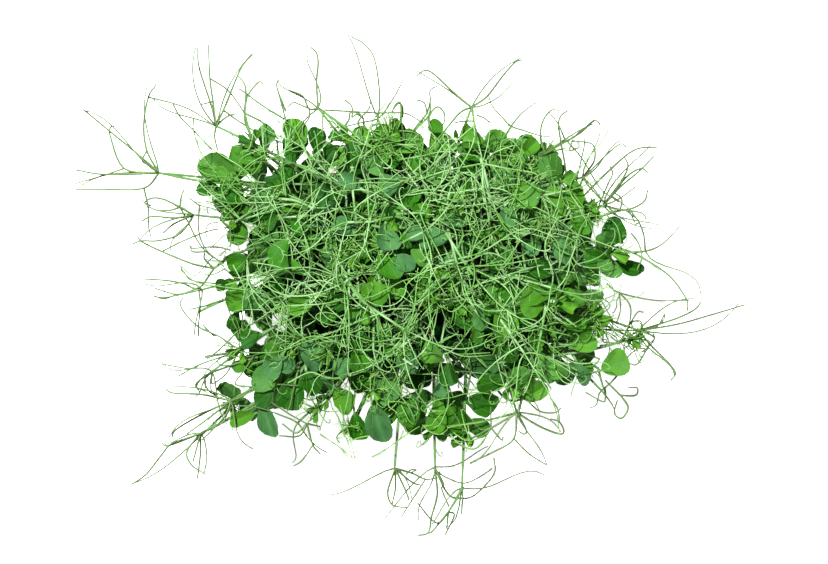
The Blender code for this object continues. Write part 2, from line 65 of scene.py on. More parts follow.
rule = {
    "seed": 40,
    "shortestDraw": 0.1,
    "columns": 8,
    "rows": 5,
    "bedLength": 175 * mm,
    "bedWidth": 130 * mm,
    "bedCorner": 0.25,
    "rootSpread": 0.92,
    "rootJitter": 3 * mm,
    "stemSegments": 5,
    "stalkSegments": 2,
    "stemFoot": 16.5 * mm,
    "stemStraight": 12 * mm,
    "stemRadii": (1.3 * mm, 1.1 * mm),
    "stalkRadii": (1.05 * mm, 0.9 * mm),
    "threadRadii": (0.75 * mm, 0.5 * mm),
    "longThread": 44 * mm,
    "threadSegments": (3, 4),
    "nodePlaces": (0.25, 0.47, 0.69, 0.9),
    "nodeSpan": 0.05,
    "nodeSizes": (0.82, 1.0, 0.95, 0.88),
    "lowestLeaf": 2,
    "hubLength": 1.2 * mm,
    "hubEdge": 0.7,
    "bladeThickness": 0.8 * mm,
    "bladeWidthShare": 0.86,
    "stipuleLength": (20 * mm, 27 * mm),
    "mostShrink": 0.6,
    "budLength": 8 * mm,
    "budShoulder": 0.4,
    "budRadius": 2.2 * mm,
    "tendrils": 3,
    "steepestLeaf": math.radians(26),
    "stalkYaw": 0.25,
    "stipuleYaw": 0.15,
    "clearance": 0.35 * mm,
    "guardSides": 6,
    "stalkTrim": 0.07,
    "threadTrim": 0.2,
    "stipuleTrim": 2.9 * mm,
    "tries": 100,
    "leaningStemReach": (0.56, 0.74),
    "leaningStemLift": (-8 * mm, 10 * mm),
    "leaningStemRise": (1.2, 2.2),
    "stemSway": (8 * mm, 34 * mm),
    "stemHeight": (92 * mm, 120 * mm),
    "stemSlant": (0.2, 0.9),
    "outwardPull": 18,
    "footArm": 0.5,
    "tipArm": 0.36,
    "stipuleUprightness": 0.8,
    "stipuleSlant": (-0.1, 0.35),
    "stipuleRise": (-0.1, 0.65),
    "stipuleRiseFreedom": (-0.5, 0.4),
    "stipuleDroop": (0.0, 0.35),
    "stipuleCup": 0.12,
    "stalkRise": (0.3, 1.1),
    "stalkLength": (28 * mm, 48 * mm),
    "stalkBow": (0.02, 0.14),
    "bowPlaces": (0.33, 0.67),
    "stalkLooseness": 0.15 * mm,
    "highestHub": 148 * mm,
    "threadSwing": (0.5, 2.1),
    "firstThreadSwing": 0.6,
    "threadRise": (-0.35, 0.45),
    "threadLength": (26 * mm, 56 * mm),
    "threadLooseness": (1.5 * mm, 0.15 * mm),
    "threadTipLift": (-22 * mm, 16 * mm),
    "threadHeights": (30 * mm, 156 * mm),
    "threadArms": (0.4, 0.3),
    "threadAim": 0.4,
    "threadBend": 0.28,
    "leastOutward": 0.3,
    "lobeFoot": 0.25,
    "lobe": ((0.0, 0.05), (0.36, 0.42), (0.90, 0.43), (1.0, -0.10), (0.58, -0.47), (0.0, -0.05)),
    "lobeFolds": ((0, 1, 5), (1, 4, 5), (1, 2, 4), (2, 3, 4)),
}

# The shoots that lean out: the top leaf's hub and its longest tendrils' tips in plan, in millimetres
leaning = {
    (0, 0): ((-148, -115, 74), ((-190, -147), (-147, -142), (-172, -121))),
    (0, 1): ((-139, -73, 84), ((-172, -68), (-152, -92))),
    (0, 2): ((-145, -19, 88), ((-184, -13), (-176, -24), (-147, -50))),
    (0, 3): ((-150, 30, 92), ((-187, 13), (-183, 40), (-168, 8))),
    (0, 4): ((-174, 58, 84), ((-223, 99), (-227, 50), (-178, 113))),
    (1, 0): ((-126, -92, 88), ((-169, -83), (-164, -116))),
    (1, 4): ((-135, 88, 94), ((-148, 139), (-112, 136), (-179, 107))),
    (2, 0): ((-76, -107, 90), ((-86, -134), (-62, -126))),
    (2, 4): ((-68, 99, 98), ((-73, 140), (-92, 116))),
    (3, 0): ((-18, -138, 78), ((-20, -162), (-7, -160))),
    (3, 4): ((-29, 92, 100), ((-48, 147), (-14, 118))),
    (4, 0): ((8, -138, 68), ((-2, -178), (46, -127))),
    (4, 4): ((32, 100, 96), ((-4, 125), (65, 132))),
    (5, 0): ((26, -150, 84), ((14, -180), (6, -172))),
    (5, 4): ((58, 88, 92), ((44, 108), (76, 106))),
    (6, 0): ((62, -100, 88), ((30, -131), (80, -133), (90, -112))),
    (6, 4): ((94, 80, 86), ((114, 92), (86, 100))),
    (7, 0): ((124, -82, 80), ((130, -102), (112, -96))),
    (7, 1): ((143, -46, 84), ((211, -29), (180, -24), (164, -75))),
    (7, 2): ((146, 6, 92), ((180, -22), (168, 24))),
    (7, 3): ((118, 36, 96), ((150, 75), (143, 50))),
    (7, 4): ((104, 54, 100), ((129, 78), (118, 92))),
}


def draw(*name):
    # a seeded source of random numbers for each named piece and try
    return random.Random(" ".join(str(word) for word in (rule["seed"], *name)))


def between(source, low, high):
    return low + (high - low) * source.random()


def levelWay(turn):
    return Vector((math.cos(turn), math.sin(turn), 0))


def straightUp(height):
    return Vector((0, 0, height))


def squaredTo(way, axis):
    # the direction turned until it is square to the axis
    return (way - axis * way.dot(axis)).normalized()


def bedPoint(u, v, scale, z):
    # the block's plan, a rectangle with soft corners, where u and v run from -1 to 1
    corner = rule["bedCorner"]
    x = 0.5 * rule["bedLength"] * scale * u * math.sqrt(1 - corner * v * v / 2)
    y = 0.5 * rule["bedWidth"] * scale * v * math.sqrt(1 - corner * u * u / 2)
    return Vector((x, y, z))


def curvePoint(course, t):
    a, b, c, d = course
    s = 1 - t
    return a * s**3 + b * 3 * s * s * t + c * 3 * s * t * t + d * t**3


def isLeaning(cell, order):
    return cell in leaning and order == len(rule["nodePlaces"]) - 1


def rootOf(cell):
    column, row = cell
    source = draw("root", column, row)
    u = rule["rootSpread"] * (2 * (column + 0.5) / rule["columns"] - 1)
    v = rule["rootSpread"] * (2 * (row + 0.5) / rule["rows"] - 1)
    place = bedPoint(u, v, 1, rule["stemFoot"])
    place.x += between(source, -1, 1) * rule["rootJitter"]
    place.y += between(source, -1, 1) * rule["rootJitter"]
    return place


def frontOf(cell):
    if cell in leaning:
        front = Vector(leaning[cell][0]) * mm - rootOf(cell)
        front.z = 0
        return front.normalized()
    return levelWay(between(draw("front", *cell), 0, 2 * math.pi))


def bentStem(foot, tip, lean):
    # straight up from the foot, then over to the tip, which it reaches along lean
    reach = (tip - foot).length
    knee = foot + straightUp((tip.z - foot.z) * rule["footArm"])
    return foot, knee, tip - lean * reach * rule["tipArm"], tip


def bowedStalk(start, end, bow):
    early, late = (start.lerp(end, place) + straightUp(bow) for place in rule["bowPlaces"])
    return start, early, late, end


def stemCourse(cell, attempt):
    source = draw("stem", *cell, attempt)
    foot = rootOf(cell) + straightUp(rule["stemStraight"])
    if cell in leaning:
        hub = Vector(leaning[cell][0]) * mm
        out = Vector((hub.x - foot.x, hub.y - foot.y, 0))
        reach = out.length
        out.normalize()
        tip = foot + out * reach * between(source, *rule["leaningStemReach"])
        tip.z = hub.z + between(source, *rule["leaningStemLift"])
        lean = (out + straightUp(between(source, *rule["leaningStemRise"]))).normalized()
    else:
        sway = levelWay(between(source, 0, 2 * math.pi))
        out = (sway + Vector((foot.x, foot.y, 0)) * rule["outwardPull"]).normalized()
        tip = foot + out * between(source, *rule["stemSway"])
        tip.z = between(source, *rule["stemHeight"])
        lean = (out * between(source, *rule["stemSlant"]) + straightUp(1)).normalized()
    return bentStem(foot, tip, lean)


def stemPlace(stem, t):
    # the point on the stem and the way that the stem runs there
    along = curvePoint(stem, t + rule["nodeSpan"]) - curvePoint(stem, t - rule["nodeSpan"])
    return curvePoint(stem, t), along.normalized()


def nodeOf(stem, order):
    return stemPlace(stem, rule["nodePlaces"][order])


def facing(order):
    return 1 if (len(rule["nodePlaces"]) - 1 - order) % 2 == 0 else -1


def leafSide(cell, order, source, mostYaw):
    yaw = between(source, -mostYaw, mostYaw)
    front = frontOf(cell) * facing(order)
    side = Vector((-front.y, front.x, 0))
    return front * math.cos(yaw) + side * math.sin(yaw)


def stipuleAt(cell, stem, order, hand, attempt):
    source = draw("stipule", *cell, order, hand, attempt)
    freedom = attempt / rule["tries"]
    place, up = nodeOf(stem, order)
    side = leafSide(cell, order, source, rule["stipuleYaw"])
    slant = side * between(source, *rule["stipuleSlant"])
    up = (up + straightUp(rule["stipuleUprightness"]) + slant).normalized()
    length = between(source, *rule["stipuleLength"])
    length *= rule["nodeSizes"][order] * (1 - rule["mostShrink"] * freedom)
    lowest, highest = (a + b * freedom for a, b in zip(rule["stipuleRise"], rule["stipuleRiseFreedom"]))
    rise = between(source, lowest, highest)
    droop = between(source, *rule["stipuleDroop"])
    return place, up, side, hand, length, rise, droop


def stalkCourse(cell, stem, order, attempt):
    source = draw("stalk", *cell, order, attempt)
    start, up = nodeOf(stem, order)
    if isLeaning(cell, order):
        end = Vector(leaning[cell][0]) * mm
        end += Vector([between(source, -1, 1) * attempt * rule["stalkLooseness"] for _ in range(3)])
    else:
        side = leafSide(cell, order, source, rule["stalkYaw"])
        way = (side + straightUp(between(source, *rule["stalkRise"]))).normalized()
        end = start + way * between(source, *rule["stalkLength"])
        end.z = min(end.z, rule["highestHub"])
    reach = (end - start).length
    course = bowedStalk(start, end, reach * between(source, *rule["stalkBow"]))
    if (curvePoint(course, 0.5) - start).angle(up) < rule["steepestLeaf"]:
        return None
    return course


def hubDirections(cell, order, stalk):
    # for each tendril, the side of the hub that it leaves and its tip from there if that is set
    way = (stalk[3] - stalk[2]).normalized()
    right = way.cross(straightUp(1)).normalized()
    tips = []
    if isLeaning(cell, order):
        tips = [Vector((x * mm, y * mm, stalk[3].z)) - stalk[3] for x, y in leaning[cell][1]]
        tips.sort(key=lambda tip: tip.angle(way))
        tips[1:] = tips[:0:-1]
    free = [right, -right, right.cross(way)]
    found = [(way, tips[0] if tips else None)]
    for index in range(1, rule["tendrils"]):
        tip = tips[index] if index < len(tips) else None
        side = max(free, key=lambda direction: direction.dot(tip)) if tip else free[0]
        free.remove(side)
        found.append((side, tip))
    return found


def threadCourse(cell, order, stalk, index, attempt):
    source = draw("thread", *cell, order, index, attempt)
    way = (stalk[3] - stalk[2]).normalized()
    side, aim = hubDirections(cell, order, stalk)[index]
    start = stalk[3].copy()
    if aim:
        loose = rule["threadLooseness"][0] + rule["threadLooseness"][1] * attempt
        tip = start + aim
        tip.x += between(source, -1, 1) * loose
        tip.y += between(source, -1, 1) * loose
        tip.z += between(source, *rule["threadTipLift"])
    else:
        swing = between(source, *rule["threadSwing"])
        across = side
        if index == 0:
            across = way.cross(straightUp(1))
            swing = between(source, -rule["firstThreadSwing"], rule["firstThreadSwing"])
        heading = way * math.cos(swing) + across * math.sin(swing)
        heading.z = between(source, *rule["threadRise"])
        tip = start + heading.normalized() * between(source, *rule["threadLength"])
    tip.z = min(max(tip.z, rule["threadHeights"][0]), rule["threadHeights"][1])
    reach = (tip - start).length
    heading = (tip - start).normalized()
    bend = Vector([between(source, -1, 1) for _ in range(3)])
    bend = bend - heading * bend.dot(heading)
    away = way
    if index > 0:
        away = (side + way / 2).normalized()
        start += side * rule["stalkRadii"][1] * rule["hubEdge"] - way * rule["hubLength"] / 2
    first = start + (away + heading * rule["threadAim"]).normalized() * reach * rule["threadArms"][0]
    second = tip - heading * reach * rule["threadArms"][1] + bend * reach * rule["threadBend"]
    course = (start, first, second, tip)
    if (threadPath(course)[1] - start).normalized().dot(side) < rule["leastOutward"]:
        return None
    return course


def pathOf(course, count):
    return [curvePoint(course, i / count) for i in range(count + 1)]


def budPath(stem):
    way = (stem[3] - stem[2]).normalized() * rule["budLength"]
    return [stem[3] + way * rule["budShoulder"], stem[3] + way]


def threadPath(course):
    reach = (course[3] - course[0]).length
    return pathOf(course, rule["threadSegments"][reach > rule["longThread"]])


# The plain solids that keep the pieces clear of each other while the rule places them


def ringPoints(centre, along, across, radius, sides):
    along = along.normalized()
    across = squaredTo(across, along)
    third = along.cross(across)
    points = []
    for k in range(sides):
        turn = 2 * math.pi * k / sides
        points.append(centre + (across * math.cos(turn) + third * math.sin(turn)) * radius)
    return points


def guardTube(path, radii, extra, trim=0):
    sides = rule["guardSides"]
    path = [path[0].lerp(path[1], trim)] + path[1:]
    radii = [(radius + extra) / math.cos(math.pi / sides) for radius in radii]
    points = ringPoints(path[0], path[1] - path[0], (path[1] - path[0]).orthogonal(), radii[0], sides)
    faces = [tuple(reversed(range(sides)))]
    before = sum(points, Vector()) / sides
    across = points[0] - before
    for i, (centre, radius) in enumerate(zip(path[1:], radii[1:])):
        after = path[i + 2] if i + 2 < len(path) else centre
        along = (after - centre).normalized() + (centre - before).normalized()
        points += ringPoints(centre, along, across, radius, sides)
        low = i * sides
        for k in range(sides):
            n = (k + 1) % sides
            faces.append((low + k, low + n, low + sides + n, low + sides + k))
        across = points[low + sides] - centre
        before = centre
    faces.append(tuple(range(len(points) - sides, len(points))))
    return points, faces


def guardStem(cell, stem, extra):
    path = [rootOf(cell)] + pathOf(stem, rule["stemSegments"]) + budPath(stem)
    radii = [rule["stemRadii"][0]] * (len(path) - 2) + [rule["budRadius"], rule["stemRadii"][1]]
    return guardTube(path, radii, extra)


def guardStalk(stalk, extra, isTrimmed):
    path = pathOf(stalk, rule["stalkSegments"])
    return guardTube(path, [rule["stalkRadii"][0]] * len(path), extra, rule["stalkTrim"] if isTrimmed else 0)


def guardThread(thread, extra, isTrimmed):
    path = threadPath(thread)
    trim = rule["threadTrim"] if isTrimmed else 0
    return guardTube(path, [rule["threadRadii"][0]] * len(path), extra, trim)


def stipuleRim(place, up, side, hand, length, rise, droop, extra, trim):
    front = squaredTo(side, up)
    outward = up.cross(front) * hand
    rim = []
    for u, v in rule["lobe"]:
        u = max(u, trim / length)
        over = u * length + math.copysign(extra, u - rule["lobeFoot"])
        along = v * length * rule["bladeWidthShare"] + math.copysign(extra, v)
        lift = length * (u * math.sin(rise) - droop * u * u + rule["stipuleCup"] * abs(v))
        rim.append(place + outward * over * math.cos(rise) + front * along + up * lift)
    return rim, up


def guardStipule(placed, extra, isTrimmed):
    rim, up = stipuleRim(*placed, extra, rule["stipuleTrim"] if isTrimmed else 0)
    half = up * (rule["bladeThickness"] / 2 + extra)
    points = [p + half for p in rim] + [p - half for p in rim]
    count = len(rim)
    faces = []
    for fold in rule["lobeFolds"]:
        faces.append(fold if placed[3] > 0 else tuple(reversed(fold)))
        faces.append(tuple(k + count for k in reversed(faces[-1])))
    for a in range(count):
        b = (a + 1) % count
        if placed[3] < 0:
            a, b = b, a
        faces.append((a, a + count, b + count))
        faces.append((a, b + count, b))
    return points, faces


class Guard:
    def __init__(self, shape):
        self.low = Vector([min(p[k] for p in shape[0]) for k in range(3)])
        self.high = Vector([max(p[k] for p in shape[0]) for k in range(3)])
        self.tree = BVHTree.FromPolygons(*shape)

    def meets(self, other):
        if any(self.low[k] > other.high[k] or self.high[k] < other.low[k] for k in range(3)):
            return False
        return bool(self.tree.overlap(other.tree))


class Thicket:
    def __init__(self):
        self.courses = {}
        self.standing = []

    def isClear(self, piece, touching, whole, rootless):
        for other, otherWhole, otherRootless in self.standing:
            if other[1] != piece[1]:
                if whole.meets(otherWhole):
                    return False
            elif other not in touching and rootless.meets(otherRootless):
                return False
        return True

    def place(self, piece, touching, courseOf, shapeOf):
        # the first of its tries that is clear
        for attempt in range(rule["tries"]):
            course = courseOf(attempt)
            if not course:
                continue
            wide = [Guard(shapeOf(course, rule["clearance"], isTrimmed)) for isTrimmed in (False, True)]
            if self.isClear(piece, touching, *wide):
                real = [Guard(shapeOf(course, 0.0, isTrimmed)) for isTrimmed in (False, True)]
                self.courses[piece] = course
                self.standing.append((piece, *real))
                return


def planShoots(cells):
    orders = range(len(rule["nodePlaces"]))
    thicket = Thicket()
    courses = thicket.courses
    for cell in cells:
        thicket.place(
            ("stem", cell),
            (),
            lambda attempt: stemCourse(cell, attempt),
            lambda stem, extra, isTrimmed: guardStem(cell, stem, extra),
        )
    for order in reversed(orders[rule["lowestLeaf"]:]):
        for cell in cells:
            thicket.place(
                ("stalk", cell, order),
                (("stem", cell),),
                lambda attempt: stalkCourse(cell, courses["stem", cell], order, attempt),
                guardStalk,
            )
    for order in reversed(orders):
        for cell in cells:
            for hand in (1, -1):
                thicket.place(
                    ("stipule", cell, order, hand),
                    (),
                    lambda attempt: stipuleAt(cell, courses["stem", cell], order, hand, attempt),
                    guardStipule,
                )
    for order in reversed(orders[rule["lowestLeaf"]:]):
        for cell in cells:
            stalk = courses.get(("stalk", cell, order))
            if not stalk:
                continue
            for index in range(rule["tendrils"]):
                thicket.place(
                    ("thread", cell, order, index),
                    (("stalk", cell, order),),
                    lambda attempt: threadCourse(cell, order, stalk, index, attempt),
                    guardThread,
                )
    return courses


cells = [(column, row) for row in range(rule["rows"]) for column in range(rule["columns"])]
courses = planShoots(cells)


def nodeNameOf(cell):
    return f"shoot_{cell[1]}_{cell[0]}"


def farthestFromSolids():
    # how far the rule's tendrils end outside the solids' boxes, which should be nothing
    worst = 0
    for cell in cells:
        low, high = (Vector(corner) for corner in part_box(nodeNameOf(cell)))
        tips = [course[3] for name, course in courses.items() if name[:2] == ("thread", cell)]
        worst = max([worst] + [max(*(low - tip), *(tip - high)) for tip in tips])
    return worst


print(f"planned {len(courses)} pieces, at most {farthestFromSolids() / mm:.3f} mm outside their solids")


# Finishes


def tint(red, green, blue):
    # a colour as a screen shows it, 0 to 255, as the shader takes it
    linear = []
    for level in (red, green, blue):
        level /= 255
        linear.append(level / 12.92 if level <= 0.04045 else ((level + 0.055) / 1.055) ** 2.4)
    return (*linear, 1)


class Value:
    # a node's output, whose sums and products add Math nodes
    def __init__(self, finish, socket):
        self.finish = finish
        self.socket = socket

    def other(self, name):
        return Value(self.finish, self.socket.node.outputs[name])

    def maths(self, operation, first, second=0.0):
        return self.finish.add("ShaderNodeMath", {"operation": operation}, {0: first, 1: second})

    def __add__(self, number):
        return self.maths("ADD", self, number)

    def __radd__(self, number):
        return self.maths("ADD", number, self)

    def __sub__(self, number):
        return self.maths("SUBTRACT", self, number)

    def __rsub__(self, number):
        return self.maths("SUBTRACT", number, self)

    def __mul__(self, number):
        return self.maths("MULTIPLY", self, number)

    def __rmul__(self, number):
        return self.maths("MULTIPLY", number, self)

    def __truediv__(self, number):
        return self.maths("DIVIDE", self, number)

    def __abs__(self):
        return self.maths("ABSOLUTE", self)

    def between(self, low, high):
        # 0 below low, 1 above high, eased in between
        settings = {"interpolation_type": "SMOOTHSTEP"}
        return self.finish.add("ShaderNodeMapRange", settings, {0: self, 1: low, 2: high})


class Finish:
    # one material, with its nodes
    def __init__(self, name, **constants):
        self.material = bpy.data.materials.new(name)
        self.material.use_nodes = True
        self.tree = self.material.node_tree
        self.shader = self.tree.nodes["Principled BSDF"]
        for socket, value in constants.items():
            self.shader.inputs[socket.replace("_", " ")].default_value = value

    def add(self, kind, settings=None, sockets=None, output=0):
        node = self.tree.nodes.new(kind)
        for name, value in (settings or {}).items():
            if name == "stops":
                self.setStops(node.color_ramp.elements, value)
            else:
                setattr(node, name, value)
        for name, value in (sockets or {}).items():
            self.feed(node.inputs[name], value)
        return Value(self, node.outputs[output])

    def setStops(self, elements, stops):
        while len(elements) < len(stops):
            elements.new(1)
        for element, (place, colour) in zip(elements, stops):
            element.position = place
            element.color = colour

    def feed(self, socket, value):
        if isinstance(value, Value):
            self.tree.links.new(value.socket, socket)
        else:
            socket.default_value = value

    def mixed(self, first, second, share):
        return self.add("ShaderNodeMix", {"data_type": "RGBA"}, {0: share, 6: first, 7: second}, 2)

    def noise(self, place, scale, detail=2.0, roughness=0.5):
        sockets = {"Vector": place, "Scale": scale, "Detail": detail, "Roughness": roughness}
        return self.add("ShaderNodeTexNoise", None, sockets)

    def outside(self, place):
        # 0 over the dense middle, 1 at the outline
        x = self.add("ShaderNodeSeparateXYZ", None, {0: place})
        across, deep = (
            abs((x.other(axis) - shade["middle"][k]) / shade["reach"][k]) for k, axis in enumerate("XY")
        )
        return (across * across * across + deep * deep * deep).between(*shade["fading"])

    def darkened(self, colour, look, place):
        # painted shade: the colour mixed towards a dark green lower down among the stems, where shade falls,
        # less so at the outline
        height = self.add("ShaderNodeSeparateXYZ", None, {0: place}, "Z")
        share = (1 - height.between(*look["paintedShadeHeights"])) * look["paintedShadeShare"]
        return self.mixed(colour, look["paintedShadeColour"], share * (1 - self.outside(place) * shade["outsideLight"]))

    def show(self, look, colour, patch, height):
        # the colour, with the roughness going up with the patches and the relief with the height
        smoothest, spread = look["roughness"]
        self.feed(self.shader.inputs["Base Color"], colour)
        self.feed(self.shader.inputs["Roughness"], smoothest + spread * patch)
        sockets = {"Height": height, "Strength": 1.0, "Distance": look["relief"]}
        bump = self.add("ShaderNodeBump", None, sockets)
        self.feed(self.shader.inputs["Normal"], bump)
        return self.material


# the plan of the dense middle, used for the painted shade, which is lifted towards the outline, and for the
# stems' outer colour
shade = {
    "middle": (0, -8 * mm),
    "reach": (120 * mm, 84 * mm),
    "fading": (0.35, 1.1),
    "outsideLight": 0.75,
}
leafColours = {
    "deep": tint(18, 60, 6),
    "green": tint(34, 92, 8),
    "fresh": tint(70, 124, 28),
    "bloomed": tint(60, 103, 61),
    "tonePlaces": (0, 0.35, 0.65, 1),
    "under": tint(92, 138, 80),
    "vein": tint(86, 134, 62),
    # painted shade: the dark green mixed in lower down among the stems, how much, and between which heights
    "paintedShadeColour": tint(0, 34, 0),
    "paintedShadeShare": 0.95,
    "paintedShadeHeights": (56 * mm, 110 * mm),
    # painted shade on one half of some leaves, as if folded away from the light
    "foldShadeEvery": 7.3,
    "foldShadeRange": (0.4, 0.6),
    "foldWidth": 0.03,
    "foldShadeShare": 0.6,
    "underShare": 0.55,
    "veinFoot": 0.04,
    "veinSpread": 0.40,
    "veinMiddle": 10.5,
    "veinWidths": (0.0048, 0.016),
    "veinShare": 0.4,
    "netScale": 8.5,
    "netWidth": 0.07,
    "netShare": 0.12,
    "blotchScale": 110,
    "blotchRange": (0.5, 0.8),
    "blotchShare": 0.45,
    "bloomScale": 66,
    "bloomRange": (0.45, 0.75),
    "bloomShare": 0.35,
    "roughness": (0.42, 0.2),
    "relief": 0.25 * mm,
    "reliefShares": (0.5, 0.6, 0.3),
}


def makeLeafSkin():
    look = leafColours
    skin = Finish("leafSkin", Specular_IOR_Level=0.05)
    flat = skin.add("ShaderNodeUVMap", {"uv_map": "UVMap"})
    place = skin.add("ShaderNodeTexCoord", None, None, "Object")
    tone = skin.add("ShaderNodeAttribute", {"attribute_name": "tone"}, None, "Fac")
    under = skin.add("ShaderNodeAttribute", {"attribute_name": "under"}, None, "Fac")
    out = skin.add("ShaderNodeSeparateXYZ", None, {0: flat})
    along = out.other("Y") - 0.5
    angle = out.maths("ARCTAN2", along, out + look["veinFoot"])
    reach = out.maths("SQRT", out * out + along * along)
    turns = angle / look["veinSpread"]
    offVein = abs(out.maths("FRACT", turns + look["veinMiddle"]) - 0.5) * look["veinSpread"] * reach
    vein = 1 - offVein.between(*look["veinWidths"])
    netSockets = {"Vector": flat, "Scale": look["netScale"]}
    offNet = skin.add("ShaderNodeTexVoronoi", {"feature": "DISTANCE_TO_EDGE"}, netSockets, "Distance")
    net = 1 - offNet.between(0.0, look["netWidth"])
    blotch = skin.noise(place, look["blotchScale"], 3)
    bloom = skin.noise(place, look["bloomScale"], 2).between(*look["bloomRange"])
    stops = list(zip(look["tonePlaces"], (look["deep"], look["green"], look["fresh"], look["bloomed"])))
    base = skin.add("ShaderNodeValToRGB", {"stops": stops}, {0: tone})
    colour = skin.mixed(base, look["bloomed"], bloom * look["bloomShare"])
    colour = skin.mixed(colour, look["deep"], blotch.between(*look["blotchRange"]) * look["blotchShare"])
    # painted shade: some leaves, picked by their tone, are mixed towards the deep green on one side of the
    # midrib, as if that half were folded away from the light
    foldShaded = tone.maths("FRACT", tone * look["foldShadeEvery"]).between(*look["foldShadeRange"])
    shadedHalf = along.between(-look["foldWidth"], look["foldWidth"])
    colour = skin.mixed(colour, look["deep"], foldShaded * shadedHalf * look["foldShadeShare"])
    colour = skin.mixed(colour, look["under"], under * look["underShare"])
    colour = skin.mixed(colour, look["vein"], vein * look["veinShare"] + net * look["netShare"])
    colour = skin.darkened(colour, look, place)
    blotchRelief, veinRelief, netRelief = look["reliefShares"]
    return skin.show(look, colour, bloom, blotchRelief * blotch - veinRelief * vein - netRelief * net)


threadColours = {
    "pale": tint(148, 190, 128),
    "green": tint(88, 146, 56),
    "tip": tint(96, 132, 72),
    "tipShare": 0.9,
    "browning": (0.85, 1.3),
    "browningDrift": 0.5,
    # painted shade: the dark green mixed in lower down among the stems, how much, and between which heights
    "paintedShadeColour": tint(2, 46, 0),
    "paintedShadeShare": 0.85,
    "paintedShadeHeights": (58 * mm, 124 * mm),
    "patchScale": 45,
    "patchRange": (0.35, 0.65),
    "fineScale": 1500,
    "roughness": (0.45, 0.2),
    "relief": 0.04 * mm,
}
outerColours = {
    **threadColours,
    "pale": tint(112, 148, 90),
    "green": tint(82, 120, 60),
    "tip": tint(68, 68, 50),
    "browning": (0.55, 1.15),
    # painted shade at the outline, weaker than in the middle
    "paintedShadeColour": tint(14, 48, 8),
    "paintedShadeShare": 0.3,
    "paintedShadeHeights": (50 * mm, 104 * mm),
}
hookColours = {
    **outerColours,
    "pale": tint(104, 142, 74),
    "green": tint(58, 98, 38),
    "tip": tint(56, 62, 38),
    "browning": (0.7, 1.3),
    "patchScale": 60,
}
youngColours = {
    **threadColours,
    "pale": tint(124, 172, 90),
    "green": tint(78, 132, 48),
    "tip": tint(100, 140, 56),
    # how much painted shade, and between which heights
    "paintedShadeShare": 0.8,
    "paintedShadeHeights": (54 * mm, 112 * mm),
    "patchScale": 90,
}


def makeThreadSkin(name, look):
    skin = Finish(name, Specular_IOR_Level=0.08)
    flat = skin.add("ShaderNodeUVMap", {"uv_map": "UVMap"})
    place = skin.add("ShaderNodeTexCoord", None, None, "Object")
    along = skin.add("ShaderNodeSeparateXYZ", None, {0: flat}, "Y")
    patch = skin.noise(place, look["patchScale"], 3)
    colour = skin.mixed(look["pale"], look["green"], patch.between(*look["patchRange"]))
    browned = (along + patch * look["browningDrift"]).between(*look["browning"])
    colour = skin.mixed(colour, look["tip"], browned * look["tipShare"])
    colour = skin.darkened(colour, look, place)
    return skin.show(look, colour, patch, skin.noise(place, look["fineScale"], 2))


stemColours = {
    "pale": tint(142, 176, 126),
    "green": tint(88, 132, 68),
    "foot": tint(140, 160, 92),
    "footHeights": (20 * mm, 60 * mm),
    "outer": tint(78, 120, 58),
    "outerShare": 0.8,
    # painted shade: the dark green mixed in lower down among the stems, how much, and between which heights
    "paintedShadeColour": tint(6, 50, 2),
    "paintedShadeShare": 0.7,
    "paintedShadeHeights": (50 * mm, 110 * mm),
    "patchScale": 60,
    "patchRange": (0.35, 0.65),
    "ribs": 6,
    "ribRange": (0.2, 1),
    "ribShare": 0.3,
    "roughness": (0.45, 0.2),
    "relief": 0.05 * mm,
}


def makeStemSkin():
    look = stemColours
    skin = Finish("stemSkin", Specular_IOR_Level=0.08)
    flat = skin.add("ShaderNodeUVMap", {"uv_map": "UVMap"})
    place = skin.add("ShaderNodeTexCoord", None, None, "Object")
    around = skin.add("ShaderNodeSeparateXYZ", None, {0: flat})
    height = skin.add("ShaderNodeSeparateXYZ", None, {0: place}, "Z")
    patch = skin.noise(place, look["patchScale"], 3)
    ribs = around.maths("SINE", around * (2 * math.pi * look["ribs"]))
    colour = skin.mixed(look["green"], look["pale"], patch.between(*look["patchRange"]))
    colour = skin.mixed(colour, look["pale"], ribs.between(*look["ribRange"]) * look["ribShare"])
    colour = skin.mixed(colour, look["outer"], skin.outside(place) * look["outerShare"])
    colour = skin.mixed(look["foot"], colour, height.between(*look["footHeights"]))
    colour = skin.darkened(colour, look, place)
    return skin.show(look, colour, patch, ribs)


budColours = {
    "bright": tint(76, 126, 32),
    "green": tint(48, 100, 20),
    "patchScale": 120,
    "patchRange": (0.35, 0.65),
    "roughness": (0.45, 0.15),
    "relief": 0.1 * mm,
}


def makeBudSkin():
    look = budColours
    skin = Finish("budSkin", Specular_IOR_Level=0.15)
    place = skin.add("ShaderNodeTexCoord", None, None, "Object")
    patch = skin.noise(place, look["patchScale"], 3)
    colour = skin.mixed(look["bright"], look["green"], patch.between(*look["patchRange"]))
    return skin.show(look, colour, patch, patch)


peaColours = {
    "tan": tint(206, 170, 112),
    "orange": tint(192, 136, 70),
    "brown": tint(124, 92, 54),
    "olive": tint(138, 126, 62),
    "tonePlaces": (0, 0.4, 0.7, 1),
    "speckScale": 900,
    "speckRange": (0.5, 0.7),
    "speckShare": 0.6,
    "wrinkleScale": 350,
    "wrinkleRange": (0.55, 0.75),
    "wrinkleShare": 0.4,
    "roughness": (0.35, 0.35),
    "relief": 0.4 * mm,
}


